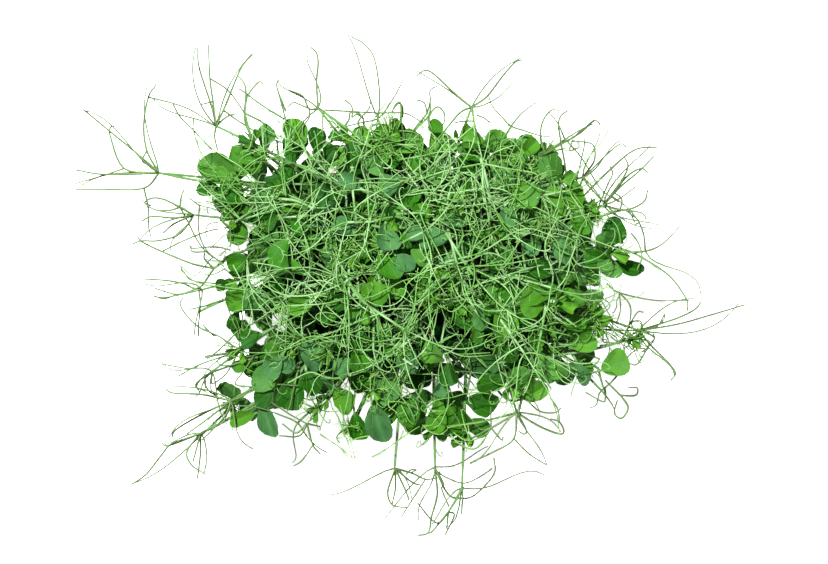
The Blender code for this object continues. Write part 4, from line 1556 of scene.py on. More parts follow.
edgeLayout = {
    "skin": "outer",
    "radii": (0.78 * mm, 0.5 * mm),
    "branchRadii": (0.6 * mm, 0.44 * mm),
    "steps": 5,
    "tipLift": (-11 * mm, 11 * mm),
    "stalkRadii": (1.15 * mm, 0.85 * mm),
    "stalkEnds": (22 * mm, 0),
    "stemRadii": (1.05 * mm, 0.8 * mm),
    "isRooted": False,
    "curls": (0, 0),
    "lean": 0.6,
    "leafRise": (-0.1, 0.5),
    "leafDroop": (0.0, 0.4),
    "leafCup": (0.2, 1.1),
    "leafRoll": (0, 0),
    "stalks": (
        ((-106, 50, 80), (-143, 52, 88), (-174, 58, 84)), ((85, 8, 60), (91, 23, 88), (97, 34, 96)),
        ((-97, 55, 76), (-111, 78, 92), (-116, 96, 98)), ((79, 14, 66), (97, 16, 84), (116, 11, 90)),
        ((-102, 10, 66), (-120, 6, 84), (-137, -5, 90)), ((-112, -19, 70), (-131, -26, 86), (-148, -34, 88)),
        ((-16, 68, 66), (-10, 80, 86), (3, 96, 98)), ((26, -150, 84), (22, -158, 84), (17, -166, 84)),
        ((-100, -86, 80), (-122, -101, 80), (-148, -115, 74)),
    ),
    "leaves": (
        (-122, 53, 92, 150, 27, 0.78, 0.74), (-120, 42, 84, 175, 18, 0.8, 0.95),
        (-102, 68, 96, 172, 20, 0.8, 0.45), (-78, 75, 94, 118, 20, 0.85, 0.62),
        (-69, 71, 90, 90, 17, 0.75, 0.08), (13, 84, 98, 142, 11, 0.9, 0.45),
        (41, 71, 96, 47, 19, 0.8, 0.72), (26, 70, 92, 38, 16, 0.8, 0.97), (63, 67, 94, 43, 18, 0.6, 0.62),
        (99, 24, 90, 54, 17, 0.8, 0.2), (119, 12, 90, 51, 19, 0.95, 0.15),
        (125, -1, 86, -18, 22, 0.5, 0.25), (118, -72, 88, 27, 20, 0.95, 0.7),
        (102, -67, 84, -66, 17, 0.6, 0.97), (66, -91, 86, 30, 20, 0.7, 0.64),
        (12, -92, 82, -103, 26, 0.55, 0.56), (17, -94, 78, -61, 25, 0.65, 0.5),
        (-4, -92, 84, -122, 19, 0.9, 0.5), (-33, -95, 84, -72, 26, 0.72, 0.97),
        (-45, -101, 80, -75, 19, 0.7, 0.3), (-106, -94, 84, -70, 24, 0.55, 0.97),
        (-112, -68, 84, -170, 15, 0.6, 0.55), (-111, -101, 82, -161, 18, 0.6, 0.6),
        (-92, -73, 88, -159, 22, 0.85, 0.86), (-99, -85, 84, -137, 16, 0.9, 0.12),
        (-99, -63, 90, -28, 19, 0.6, 0.97), (-81, -75, 84, -113, 26, 0.75, 0.2),
        (-127, -17, 86, 169, 10, 0.95, 0.05), (-113, 0, 88, -169, 16, 0.9, 0.42),
        (-114, -18, 84, -137, 21, 0.8, 0.6), (-122, -34, 80, -117, 13, 0.7, 0.25),
        (-133, 46, 86, 169, 16, 0.75, 0.15), (-112, 32, 82, 165, 20, 0.8, 0.6),
        (-118, 47, 84, -149, 23, 0.8, 0.9), (-20, 72, 92, 70, 20, 0.6, 0.15),
    ),
    "sprays": (
        (84, (-174, 58, -185, 68, -207, 86, -224, 100),
         (-174, 58, -182, 73, -184, 90, -181, 108, -176, 116), (-181, 108, -165, 104, -152, 99, -137, 89),
         (-165, 104, -160, 95, -151, 86, -139, 73), (-174, 58, -197, 61, -206, 82, -206, 88, -203, 89),
         (-197, 61, -209, 57, -229, 51), (-174, 58, -209, 57, -229, 60),
         (-174, 58, -184, 48, -209, 47, -229, 47), (-184, 48, -181, 34, -181, 23, -179, 15),
         (-182, 73, -185, 66, -180, 63)),
        (94, (-135, 88, -138, 101, -146, 126, -147, 139), (-135, 88, -137, 104, -139, 119, -140, 141),
         (-135, 88, -129, 101, -119, 125, -111, 135), (-135, 88, -128, 94, -122, 96),
         (-135, 88, -136, 81, -134, 72), (-139, 119, -127, 111, -116, 96),
         (-137, 104, -141, 103, -145, 102), (-130, 98, -117, 89, -105, 82, -92, 77)),
        (98, (-116, 96, -115, 108, -116, 115, -120, 120), (-116, 96, -114, 107, -107, 116, -104, 115),
         (-116, 96, -115, 88, -110, 77), (-116, 96, -103, 89, -94, 79),
         (-90, 92, -106, 102, -115, 109, -120, 112), (-89, 97, -94, 110, -95, 115, -93, 118)),
        (98, (-68, 99, -69, 116, -68, 128, -69, 135, -73, 139), (-68, 99, -74, 99, -78, 107, -87, 111),
         (-74, 99, -81, 102, -84, 103, -88, 100), (-74, 99, -74, 93, -78, 87, -78, 82),
         (-68, 99, -59, 93, -51, 85), (-64, 98, -46, 97, -28, 96, -12, 96, -2, 91),
         (-65, 98, -65, 91, -65, 82), (-30, 86, -28, 103, -29, 119, -32, 133, -38, 141, -47, 146),
         (-89, 90, -90, 95, -94, 110, -95, 115, -93, 118), (-46, 93, -46, 100, -51, 105),
         (-13, 93, -13, 100, -16, 102, -20, 97)),
        (96, (32, 100, 20, 110, 7, 122, 1, 124, -4, 120), (32, 100, 42, 107, 52, 120, 60, 129, 65, 131),
         (32, 100, 25, 97, 17, 88, 5, 73, -1, 66), (32, 100, 35, 84, 38, 67), (35, 95, 40, 93, 44, 90),
         (34, 91, 28, 91, 21, 90), (3, 96, 1, 103, -5, 105), (3, 96, 5, 104, 5, 111, 10, 114),
         (3, 96, -1, 91, -9, 79)),
        (96, (97, 34, 85, 56, 79, 72, 77, 83, 79, 92, 84, 98, 89, 98),
         (97, 34, 93, 62, 89, 86, 90, 94, 95, 98), (100, 40, 100, 50, 105, 72, 106, 80),
         (97, 34, 105, 54, 112, 65, 112, 74, 108, 77, 98, 78), (105, 54, 120, 69, 129, 76, 133, 74),
         (97, 34, 120, 57, 138, 72, 153, 74), (105, 54, 110, 49, 120, 36), (98, 80, 105, 86, 112, 92),
         (98, 79, 96, 72, 102, 74, 101, 78)),
        (96, (118, 36, 129, 48, 141, 58, 151, 68), (118, 36, 129, 50, 136, 57, 143, 60, 147, 57),
         (115, 36, 121, 50, 124, 57, 122, 62), (118, 36, 131, 54, 134, 62, 132, 67),
         (118, 36, 132, 33, 144, 38, 147, 46), (132, 33, 143, 31, 146, 27), (132, 33, 141, 26, 138, 23),
         (129, 33, 130, 40, 125, 44, 123, 42, 128, 38), (136, 18, 141, 11, 143, 2, 140, -6)),
        (90, (116, 11, 133, 7, 144, 2, 162, -10, 173, -25, 174, -33),
         (121, -15, 129, -21, 152, -26, 175, -26), (129, -21, 130, -32, 127, -42),
         (129, -21, 136, -29, 136, -40, 131, -51)),
        (84, (143, -46, 168, -42, 193, -35, 213, -29), (143, -46, 168, -38, 180, -32, 184, -27),
         (143, -46, 150, -55, 161, -66, 167, -74, 164, -79), (149, -57, 142, -68, 137, -68),
         (143, -46, 155, -43, 160, -35), (137, -42, 142, -34, 146, -34),
         (137, -42, 139, -40, 144, -40, 145, -45, 139, -45),
         (143, -46, 151, -49, 153, -52, 149, -57, 145, -60), (143, -46, 136, -51, 140, -57, 147, -58),
         (117, -45, 134, -46, 143, -46), (117, -56, 126, -55, 134, -52, 138, -58, 145, -53),
         (133, -57, 133, -69, 127, -78)),
        (82, (131, -89, 136, -97, 132, -104, 127, -101, 129, -92),
         (131, -89, 141, -89, 142, -84, 136, -84), (131, -89, 121, -79),
         (121, -84, 121, -91, 119, -93, 108, -87)),
        (88, (62, -100, 60, -117, 48, -125, 31, -133), (60, -117, 70, -127, 81, -134),
         (62, -100, 77, -109, 90, -114, 93, -112, 90, -106, 84, -104),
         (62, -100, 45, -110, 27, -119, 20, -117), (62, -100, 37, -106, 16, -109),
         (62, -100, 68, -111, 67, -114, 63, -112), (69, -92, 77, -99, 87, -100, 91, -97),
         (84, -90, 89, -98, 90, -106), (45, -110, 39, -120, 32, -124, 20, -119),
         (45, -110, 52, -118, 53, -116), (45, -110, 38, -111, 32, -104), (66, -88, 62, -100),
         (45, -96, 45, -110)),
        (78, (-18, -138, -23, -153, -20, -162, -10, -164), (-18, -138, -18, -151, -20, -161),
         (-18, -138, -11, -153, -9, -159), (-18, -138, -7, -147, -1, -149),
         (-18, -138, -7, -141, 2, -145, 10, -144), (2, -145, -7, -159, -14, -170),
         (-11, -142, -8, -139, -4, -139, -9, -141)),
        (68, (8, -138, 10, -156, 6, -172, 4, -182, -3, -184), (8, -138, 14, -149, 13, -153, 18, -165),
         (11, -141, 14, -144, 27, -149, 38, -145, 47, -139), (27, -149, 27, -160, 26, -170),
         (8, -138, 17, -156, 25, -159, 35, -157, 48, -143, 48, -132)),
        (84, (17, -166, 11, -173, 5, -170, -3, -160), (17, -166, 7, -178, 4, -180),
         (17, -166, 21, -168, 15, -181), (17, -166, 16, -177)),
        (88, (-126, -92, -145, -88, -164, -87, -169, -84),
         (-126, -92, -145, -101, -162, -111, -165, -117), (-126, -92, -140, -103, -155, -114),
         (-126, -92, -129, -101, -138, -111, -145, -118), (-113, -83, -123, -81, -118, -73, -111, -62),
         (-126, -92, -102, -82, -82, -82)),
        (74, (-148, -115, -167, -122, -173, -128, -184, -142, -194, -149),
         (-148, -115, -169, -123, -174, -121), (-148, -115, -157, -127, -154, -136, -145, -142),
         (-148, -115, -148, -128, -150, -145), (-148, -115, -153, -134)),
        (84, (-139, -73, -150, -82, -142, -87), (-139, -73, -144, -79, -141, -86, -136, -89),
         (-139, -73, -139, -81, -130, -75, -124, -65, -121, -60), (-121, -60, -146, -68, -161, -76),
         (-146, -68, -154, -71, -173, -68), (-121, -60, -121, -54, -122, -47), (-121, -60, -144, -64),
         (-107, -61, -121, -60)),
        (92, (-150, 30, -159, 35, -169, 40, -177, 41, -182, 38, -178, 36), (-159, 35, -165, 33, -173, 33),
         (-150, 30, -162, 28, -177, 29, -184, 26), (-150, 30, -163, 24, -170, 18),
         (-150, 30, -155, 22, -162, 16, -174, 13, -184, 13, -190, 11), (-159, 35, -158, 42, -156, 47),
         (-159, 35, -154, 26, -148, 14, -141, 5, -130, -2),
         (-146, 36, -147, 24, -145, 13, -139, 4, -130, -2), (-146, 36, -153, 41),
         (-120, 28, -134, 28, -150, 30), (-120, 28, -132, 36, -142, 39),
         (-120, 28, -124, 22, -131, 26, -132, 31)),
        (90, (-137, -5, -151, -2, -171, 6, -185, 13, -186, 17), (-171, 6, -157, 13, -142, 19, -133, 21),
         (-137, -5, -147, -18, -157, -15, -168, -13, -183, -12), (-147, -18, -161, -22, -176, -18),
         (-161, -22, -170, -25, -176, -23), (-147, -18, -146, -29, -147, -42, -147, -50),
         (-136, -15, -151, -13, -157, -7, -159, -3), (-137, -5, -143, 1, -143, 5),
         (-123, -57, -133, -50, -146, -44, -154, -37, -159, -29, -157, -24),
         (-121, -46, -133, -58, -142, -65), (-126, 7, -136, 9, -151, 8), (-142, 6, -151, 6, -152, 10),
         (-123, 6, -130, 1, -137, -5)),
        (90, (-76, -107, -72, -121, -67, -127), (-72, -121, -79, -131, -85, -135),
         (-76, -107, -83, -113, -92, -107), (-76, -107, -81, -115, -94, -115),
         (-99, -93, -87, -101, -76, -107), (-76, -107, -67, -109)),
    ),
}

middleLayout = {
    "skin": "thread",
    "radii": (0.56 * mm, 0.32 * mm),
    "branchRadii": (0.42 * mm, 0.28 * mm),
    "steps": 5,
    "tipLift": (-14 * mm, 8 * mm),
    "stalkRadii": (1.0 * mm, 0.8 * mm),
    "stalkEnds": (22 * mm, 22 * mm),
    "stemRadii": (1.1 * mm, 0.9 * mm),
    "isRooted": True,
    "curls": (2, 4),
    "curlLength": (12 * mm, 36 * mm),
    "curlRadii": (0.3 * mm, 0.18 * mm),
    "curlTurns": (0.5, 4),
    "lean": 1.2,
    "leafRise": (0.0, 0.6),
    "leafDroop": (0.1, 0.5),
    "leafCup": (0.3, 0.9),
    "leafRoll": (-0.75, 0.75),
    "stalks": (
        ((15, 17, 116), (28, -4, 124), (39, -18, 116)), ((-94, 40, 104), (-81, 38, 114), (-70, 33, 118)),
        ((-32, 22, 118), (-21, 20, 116), (-11, 21, 110)), ((37, 63, 124), (42, 44, 120), (43, 24, 108)),
        ((-15, -57, 108), (-9, -52, 106), (-2, -48, 100)), ((28, -4, 122), (17, -9, 120), (5, -18, 112)),
        ((-66, 98, 96), (-50, 86, 106), (-32, 72, 112)), ((-53, -3, 108), (-44, -20, 114), (-30, -35, 116)),
        ((53, -67, 84), (105, -60, 84), (133, -53, 84)),
    ),
    "leaves": (
        (56, 37, 116, 20, 22, 0.75, 0.72), (52, 28, 114, -30, 18, 0.8, 0.78),
        (89, 16, 110, -80, 19, 0.7, 0.97), (-23, 39, 118, 60, 19, 0.9, 0.98),
        (-24, 23, 118, -100, 20, 0.85, 0.97), (-40, 46, 116, 150, 15, 0.8, 1.0),
        (-51, 44, 104, 190, 22, 0.8, 0.0), (-87, 13, 112, -110, 22, 0.9, 0.42),
        (16, 14, 116, 200, 19, 0.9, 0.97), (13, 24, 116, 10, 17, 0.7, 0.97),
        (50, -27, 114, -85, 26, 0.65, 0.6), (83, -31, 106, 20, 22, 0.75, 0.7),
        (-77, -52, 104, -60, 21, 0.8, 0.98), (-9, -55, 102, -90, 19, 0.8, 0.97),
        (3, -52, 104, -60, 18, 0.9, 0.7), (71, -66, 98, -30, 22, 0.7, 0.84),
        (-22, -7, 114, 10, 16, 0.45, 0.25), (26, 36, 110, 100, 19, 0.8, 0.2),
        (-42, 17, 112, 170, 18, 0.8, 0.97), (-70, -24, 110, 200, 19, 0.8, 0.55),
        (67, -6, 108, 0, 18, 0.8, 0.1), (-46, 61, 104, 110, 17, 0.8, 0.1),
        (-64, 63, 102, 80, 16, 0.8, 0.03), (-25, 55, 112, 130, 15, 0.8, 0.85),
        (-72, 23, 106, 170, 15, 0.85, 0.3), (-94, 29, 102, 200, 16, 0.8, 0.15),
        (-66, 15, 106, -150, 15, 0.8, 0.2), (-17, 3, 116, -40, 14, 0.9, 1.0),
        (-12, 34, 112, 60, 15, 0.8, 0.35), (-116, 39, 100, 160, 19, 0.7, 0.3),
        (3, 24, 114, 120, 15, 0.8, 0.5), (-8, 22, 116, -60, 13, 0.9, 0.99),
        (64, 13, 110, -20, 14, 0.9, 0.98), (40, 4, 106, -60, 17, 0.8, 0.1),
        (63, -10, 104, -10, 21, 0.7, 0.05), (114, 9, 96, 10, 18, 0.8, 0.2),
        (105, 6, 98, -30, 17, 0.8, 0.3), (41, 74, 104, 170, 18, 0.7, 0.68),
        (52, 65, 104, 40, 17, 0.8, 0.6), (53, 34, 114, -90, 14, 0.9, 0.97),
        (-77, -9, 108, 180, 21, 0.7, 0.5), (-38, -45, 104, -100, 17, 0.8, 0.1),
        (-43, -56, 104, -80, 18, 0.8, 0.45), (-46, -64, 102, -120, 16, 0.9, 0.97),
        (-76, -72, 96, -70, 17, 0.8, 0.1), (60, -29, 112, 20, 23, 0.6, 0.6),
        (90, -39, 102, -20, 17, 0.8, 0.45), (35, -40, 108, -100, 14, 0.7, 0.5),
        (17, -67, 98, -70, 17, 0.8, 0.1), (15, -77, 98, -120, 13, 0.9, 0.98),
        (51, -53, 102, -60, 16, 0.8, 0.1), (83, -65, 98, -40, 16, 0.8, 0.72),
        (97, -55, 98, 10, 18, 0.8, 0.65), (-99, -27, 98, 170, 20, 0.8, 0.9),
        (-105, -48, 94, -150, 16, 0.8, 0.2), (-93, -63, 94, -120, 17, 0.8, 0.97),
        (-47, -23, 108, 200, 15, 0.8, 0.08),
    ),
    "sprays": (
        (124, (28, -4, 25, 6, 25, 15), (25, 15, 14, 18, 1, 24, -11, 27), (25, 15, 39, 19, 51, 22, 74, 21),
         (28, -4, 49, -3, 74, 1), (28, -4, 38, -17, 53, -32, 75, -43, 93, -48),
         (28, -4, 18, -10, 5, -18, -8, -41, -14, -51), (28, -4, 31, -20, 33, -27, 40, -32, 53, -32),
         (28, -4, 17, -8, 7, -16, 6, -23, 11, -25), (53, -32, 57, -39, 60, -46), (51, -3, 59, 8, 63, 15),
         (63, 15, 55, 20, 49, 26), (63, 15, 70, 18, 74, 21),
         (28, -4, 41, -10, 51, -16, 57, -24, 58, -29, 67, -20, 65, -11), (51, -16, 61, -10, 73, -13),
         (58, -29, 59, -38, 60, -46, 65, -53), (60, -46, 57, -51, 55, -55)),
        (126, (38, 61, 17, 57, 1, 52, -8, 48), (38, 61, 53, 58, 70, 55, 72, 51, 63, 42, 51, 42),
         (38, 61, 38, 49, 40, 36, 42, 23), (61, 56, 59, 42, 54, 30), (61, 56, 63, 66, 58, 74, 53, 77),
         (38, 61, 37, 66, 34, 79, 32, 95)),
        (120, (-6, 56, 2, 64, 6, 69, 17, 86), (-6, 56, -12, 64, -15, 71), (-6, 56, 3, 47, 10, 36),
         (-15, 64, -2, 66, 12, 69, 24, 68, 36, 66), (-15, 56, -25, 48, -32, 38)),
        (122, (-34, 24, -35, 38, -35, 46, -39, 59, -37, 65), (-34, 24, -30, 38, -27, 55),
         (-34, 24, -42, 29, -49, 31, -59, 33, -68, 33), (-34, 24, -45, 24, -56, 20, -63, 16),
         (-34, 24, -36, 13, -41, 1), (-34, 24, -22, 27, -13, 27, -7, 24, -2, 18),
         (-68, 33, -67, 25, -63, 15, -53, 6), (-70, 33, -71, 50, -70, 59), (-70, 59, -78, 55, -86, 51),
         (-70, 59, -76, 72, -82, 84, -87, 88), (-55, 69, -61, 53, -70, 38), (-59, 55, -46, 63, -35, 70),
         (-30, -6, -21, 6, -11, 18, -2, 30)),
        (114, (-32, 72, -24, 62, -15, 57, -8, 60), (-32, 72, -38, 64, -34, 56, -25, 55),
         (-32, 72, -21, 75, -12, 74, -2, 74), (-32, 72, -41, 76, -53, 85, -65, 96),
         (-32, 72, -30, 62, -22, 59, -20, 65, -25, 69)),
        (112, (-117, 26, -132, 39, -142, 48, -146, 54), (-117, 26, -110, 33, -106, 41),
         (-117, 26, -108, 18, -99, 11, -88, -1), (-106, 50, -117, 60, -133, 70, -145, 81),
         (-97, 37, -111, 37, -126, 37, -145, 44), (-88, 41, -89, 54, -91, 77, -87, 94),
         (-117, 26, -103, 30, -85, 36, -70, 33), (-114, 7, -103, 14, -92, 18, -79, 13, -75, 7),
         (-117, 26, -124, 35, -129, 45, -126, 54)),
        (118, (-30, -35, -43, -20, -52, -3), (-30, -35, -18, -31, -2, -32),
         (-30, -35, -43, -40, -57, -46, -74, -52), (-30, -35, -26, -47, -23, -59),
         (-30, -35, -40, -29, -52, -18, -66, -13, -78, -15), (-74, -52, -81, -45, -87, -37, -100, -22),
         (-74, -52, -85, -56, -96, -59, -116, -59), (-112, 0, -111, -15, -100, -28, -81, -48),
         (-90, -24, -81, -23, -71, -24, -61, -37, -48, -41), (-106, -14, -91, -6, -72, -5, -55, -10)),
        (108, (-15, -57, -20, -60, -33, -69, -53, -76, -71, -73), (-15, -57, -12, -66, -11, -73),
         (-15, -57, -8, -51, -2, -48), (-11, -73, -17, -81, -24, -84),
         (-15, -57, -4, -49, 16, -58, 28, -62, 45, -61), (47, -61, 52, -79, 60, -100),
         (45, -61, 50, -51, 56, -47)),
        (116, (95, 3, 87, 7, 82, 14, 85, 17, 97, 12, 95, 6), (95, 3, 99, 14, 103, 24, 117, 36),
         (75, 21, 97, 17, 122, 8, 139, 2, 152, -7), (74, 22, 91, 26, 108, 30), (68, 46, 78, 39, 87, 33),
         (95, 3, 100, -3, 111, -5, 121, -1), (76, -43, 85, -40, 95, -41, 103, -37),
         (95, 3, 92, -10, 85, -19, 75, -26)),
        (114, (-29, -36, -40, -23, -47, -13, -53, 0), (-29, -36, -38, -43, -48, -47, -74, -52, -89, -58),
         (-29, -36, -25, -46, -18, -55, -13, -59),
         (-29, -36, -38, -37, -48, -42, -52, -38, -61, -30, -69, -22), (-29, -36, -16, -34, -2, -32),
         (-47, -13, -39, -9, -28, -2), (-48, -47, -31, -52, -13, -50, -2, -53),
         (-13, -59, -18, -60, -38, -70, -53, -74)),
        (110, (-69, -22, -74, -27, -78, -39, -77, -49), (-69, -22, -95, -24, -107, -32),
         (-69, -22, -53, -26, -43, -32), (-69, -22, -78, -15, -87, -18, -93, -24),
         (-78, -15, -83, -20, -97, -32, -107, -39),
         (-127, -16, -109, -11, -95, -6, -77, -6, -62, -11, -48, -16),
         (-156, -6, -146, -14, -130, -17, -114, -19, -101, -22),
         (-122, -3, -115, -17, -110, -32, -109, -43), (-115, -26, -101, -13, -92, -6),
         (-101, -4, -98, -18, -92, -25, -87, -32, -88, -42),
         (-113, 0, -110, -20, -103, -32, -93, -42, -81, -50), (-81, -50, -65, -55, -57, -63, -57, -71),
         (-87, -79, -72, -72, -58, -76, -34, -68, -27, -55)),
        (118, (11, 39, 13, 45, 18, 50, 23, 54, 29, 56, 33, 54, 34, 47, 34, 39, 32, 34),
         (17, 47, 23, 51, 28, 53), (31, 53, 32, 47, 33, 42, 33, 36, 31, 32),
         (35, 55, 39, 51, 42, 45, 42, 39), (37, 55, 38, 49, 38, 42, 41, 36, 43, 31, 44, 26),
         (35, 50, 38, 43, 39, 37), (11, 43, 14, 39, 16, 37, 22, 37, 27, 34),
         (7, 31, 13, 33, 18, 37, 25, 43), (6, 31, 13, 32, 20, 34, 27, 34),
         (10, 65, 10, 61, 13, 59, 15, 62, 16, 64),
         (46, 44, 48, 46, 55, 48, 66, 48, 73, 44, 80, 39, 85, 34)),
        (110, (-78, 13, -97, 13, -113, 9), (-78, 13, -58, 15, -40, 23),
         (-78, 13, -87, 10, -95, 11, -101, 21, -109, 31), (-78, 13, -74, 11, -73, 5),
         (-69, 34, -68, 28, -60, 17, -58, 6, -53, -6), (-97, 41, -91, 25, -87, 10),
         (-115, 29, -93, 36, -69, 34, -45, 31), (-93, 41, -109, 41, -124, 46),
         (-101, 50, -114, 51, -127, 54, -141, 51), (-101, 68, -114, 60, -125, 46, -131, 38),
         (-111, 35, -122, 46, -133, 56, -143, 70, -146, 85), (-89, 42, -91, 60, -88, 76, -93, 91),
         (-71, 62, -87, 50, -101, 46, -113, 39), (-101, 64, -91, 69, -83, 80),
         (-101, 64, -103, 77, -104, 94), (-69, 64, -81, 75, -97, 82, -113, 92)),
    ),
}

hookLayout = {
    "skin": "hook",
    "radii": (0.85 * mm, 0.45 * mm),
    "branchRadii": (0.6 * mm, 0.4 * mm),
    "steps": 5,
    "tipLift": (-4 * mm, 6 * mm),
    "stemRadii": (1.05 * mm, 0.85 * mm),
    "isRooted": True,
    "curls": (0, 1),
    "curlLength": (5 * mm, 12 * mm),
    "curlRadii": (0.4 * mm, 0.25 * mm),
    "curlTurns": (1, 4),
    "stalks": (),
    "leaves": (),
    "sprays": (
        (100, (-62, 74, -57, 80, -52, 86, -48, 91, -47, 96, -43, 96, -40, 95)),
        (100, (-40, 81, -40, 86, -42, 89, -40, 93, -37, 96, -34, 100)),
        (98, (-35, 84, -38, 88, -39, 93, -43, 95, -46, 93)),
        (98, (-34, 87, -29, 89, -25, 87, -24, 84, -26, 81, -30, 81)),
        (100, (-12, 80, -13, 85, -14, 91, -14, 99, -15, 103, -18, 101, -20, 96)),
        (98, (-10, 80, -2, 88, 3, 93, 5, 98, 5, 103)),
        (98, (6, 85, 4, 91, 6, 97, 10, 100, 14, 96, 14, 90, 10, 85)),
        (98, (67, 63, 82, 71, 96, 79, 104, 84, 112, 91, 116, 88)),
        (92, (114, 28, 123, 31, 132, 33, 136, 31, 139, 25)),
        (90, (-119, 31, -121, 26, -125, 22, -129, 23, -132, 26)),
        (96, (-109, 74, -112, 79, -114, 82, -116, 84)),
        (84, (-110, -64, -126, -69, -142, -75, -147, -79, -149, -83, -147, -87)),
        (80, (-100, -86, -110, -96, -121, -101, -130, -106, -139, -111, -148, -115)),
        (88, (-82, -73, -85, -86, -87, -95, -89, -99)),
        (84, (-102, -36, -107, -39, -116, -43, -118, -40)),
        (88, (-131, -26, -138, -28, -144, -30, -153, -32)),
        (88, (-17, -76, -21, -84, -22, -91, -19, -94)),
        (78, (-47, -112, -53, -113, -57, -117, -55, -121)),
        (88, (69, -80, 66, -90, 63, -101)),
        (84, (116, -71, 118, -79, 121, -89)),
    ),
}

# The fine net of curling tendrils between the thicker ones
netLayout = {
    "skin": "outer",
    "radii": (0.48 * mm, 0.32 * mm),
    "branchRadii": (0.48 * mm, 0.32 * mm),
    "steps": 4,
    "tipLift": (-8 * mm, 8 * mm),
    "isRooted": False,
    "curls": (0, 1),
    "curlLength": (6 * mm, 16 * mm),
    "curlRadii": (0.36 * mm, 0.24 * mm),
    "curlTurns": (1, 4),
    "stalks": (),
    "leaves": (),
    "sprays": (
        (86, (130, -23, 128, -26, 128, -30, 126, -34, 125, -34), (137, -40, 135, -46, 132, -51),
         (107, -26, 112, -30, 117, -34, 120, -38, 125, -41, 129, -44),
         (108, -30, 114, -34, 119, -37, 124, -42, 126, -46),
         (116, -25, 119, -28, 121, -32, 124, -37, 125, -41),
         (119, -25, 123, -28, 123, -31, 119, -34, 116, -33), (112, -25, 114, -28, 116, -31, 120, -33),
         (108, -34, 104, -36, 101, -39, 104, -39, 108, -38),
         (106, -40, 110, -41, 115, -43, 119, -45, 124, -46, 134, -46),
         (98, -41, 102, -41, 107, -41, 111, -43, 116, -44),
         (119, -39, 121, -44, 121, -49, 123, -54, 123, -60, 121, -65),
         (111, -45, 110, -49, 108, -52, 104, -50, 105, -47, 108, -47),
         (113, -45, 113, -48, 116, -50, 119, -49), (127, -47, 128, -49, 131, -51, 132, -53),
         (135, -48, 136, -52, 133, -55, 137, -59, 141, -56),
         (136, -48, 139, -50, 141, -54, 141, -57, 145, -58),
         (144, -48, 147, -52, 149, -54, 148, -59, 144, -60), (142, -54, 144, -52, 145, -53, 144, -55),
         (152, -48, 153, -51, 150, -54), (144, -46, 139, -45, 138, -41, 141, -40, 144, -42, 144, -45),
         (149, -44, 154, -43, 159, -39, 160, -34), (119, -49, 119, -53, 121, -54, 121, -52, 119, -52),
         (124, -50, 128, -53, 128, -51, 126, -49), (99, -45, 103, -46, 108, -46, 112, -46)),
        (84, (-145, -42, -142, -46, -138, -49, -134, -50, -129, -54, -123, -57, -121, -60),
         (-130, -27, -125, -40, -122, -46),
         (-120, -31, -119, -37, -119, -44, -117, -47, -112, -52, -106, -58),
         (-120, -56, -116, -58, -109, -58), (-144, -63, -137, -62, -131, -61, -124, -60),
         (-131, -63, -123, -63, -115, -63, -107, -61, -99, -59, -93, -60, -87, -66),
         (-136, -66, -133, -69, -128, -69, -125, -68, -123, -62),
         (-133, -64, -139, -69, -144, -75, -143, -80, -144, -86),
         (-140, -78, -140, -84, -137, -88, -135, -88), (-105, -27, -99, -35, -90, -45, -85, -50, -81, -53),
         (-96, -26, -90, -33, -89, -40, -90, -45, -98, -58),
         (-109, -37, -104, -41, -97, -44, -89, -48, -81, -52)),
        (92, (-120, 28, -130, 32, -139, 37, -147, 38), (-120, 28, -126, 29, -137, 34, -145, 36, -153, 41),
         (-120, 28, -133, 39, -143, 50, -147, 57, -150, 58), (-120, 28, -114, 32, -110, 37, -110, 43),
         (-136, 68, -129, 65, -120, 60, -112, 52), (-147, 67, -141, 60, -135, 53, -126, 45),
         (-134, 25, -140, 24, -142, 19, -141, 14), (-117, 15, -120, 16, -129, 17, -135, 12, -139, 8),
         (-130, 22, -126, 20, -126, 11, -126, 6), (-120, 7, -121, 11, -125, 11, -130, 6, -133, 3),
         (-118, 6, -124, 5, -130, 2, -131, 0, -137, 0, -143, 1),
         (-126, 7, -134, 9, -140, 9, -151, 8, -153, 11), (-110, 7, -114, 3, -117, -5, -119, -14),
         (-150, 93, -150, 85, -145, 70, -137, 60), (-129, -5, -137, -9, -143, -9),
         (-130, -4, -137, 2, -143, -4, -150, -10, -159, -3)),
    ),
}

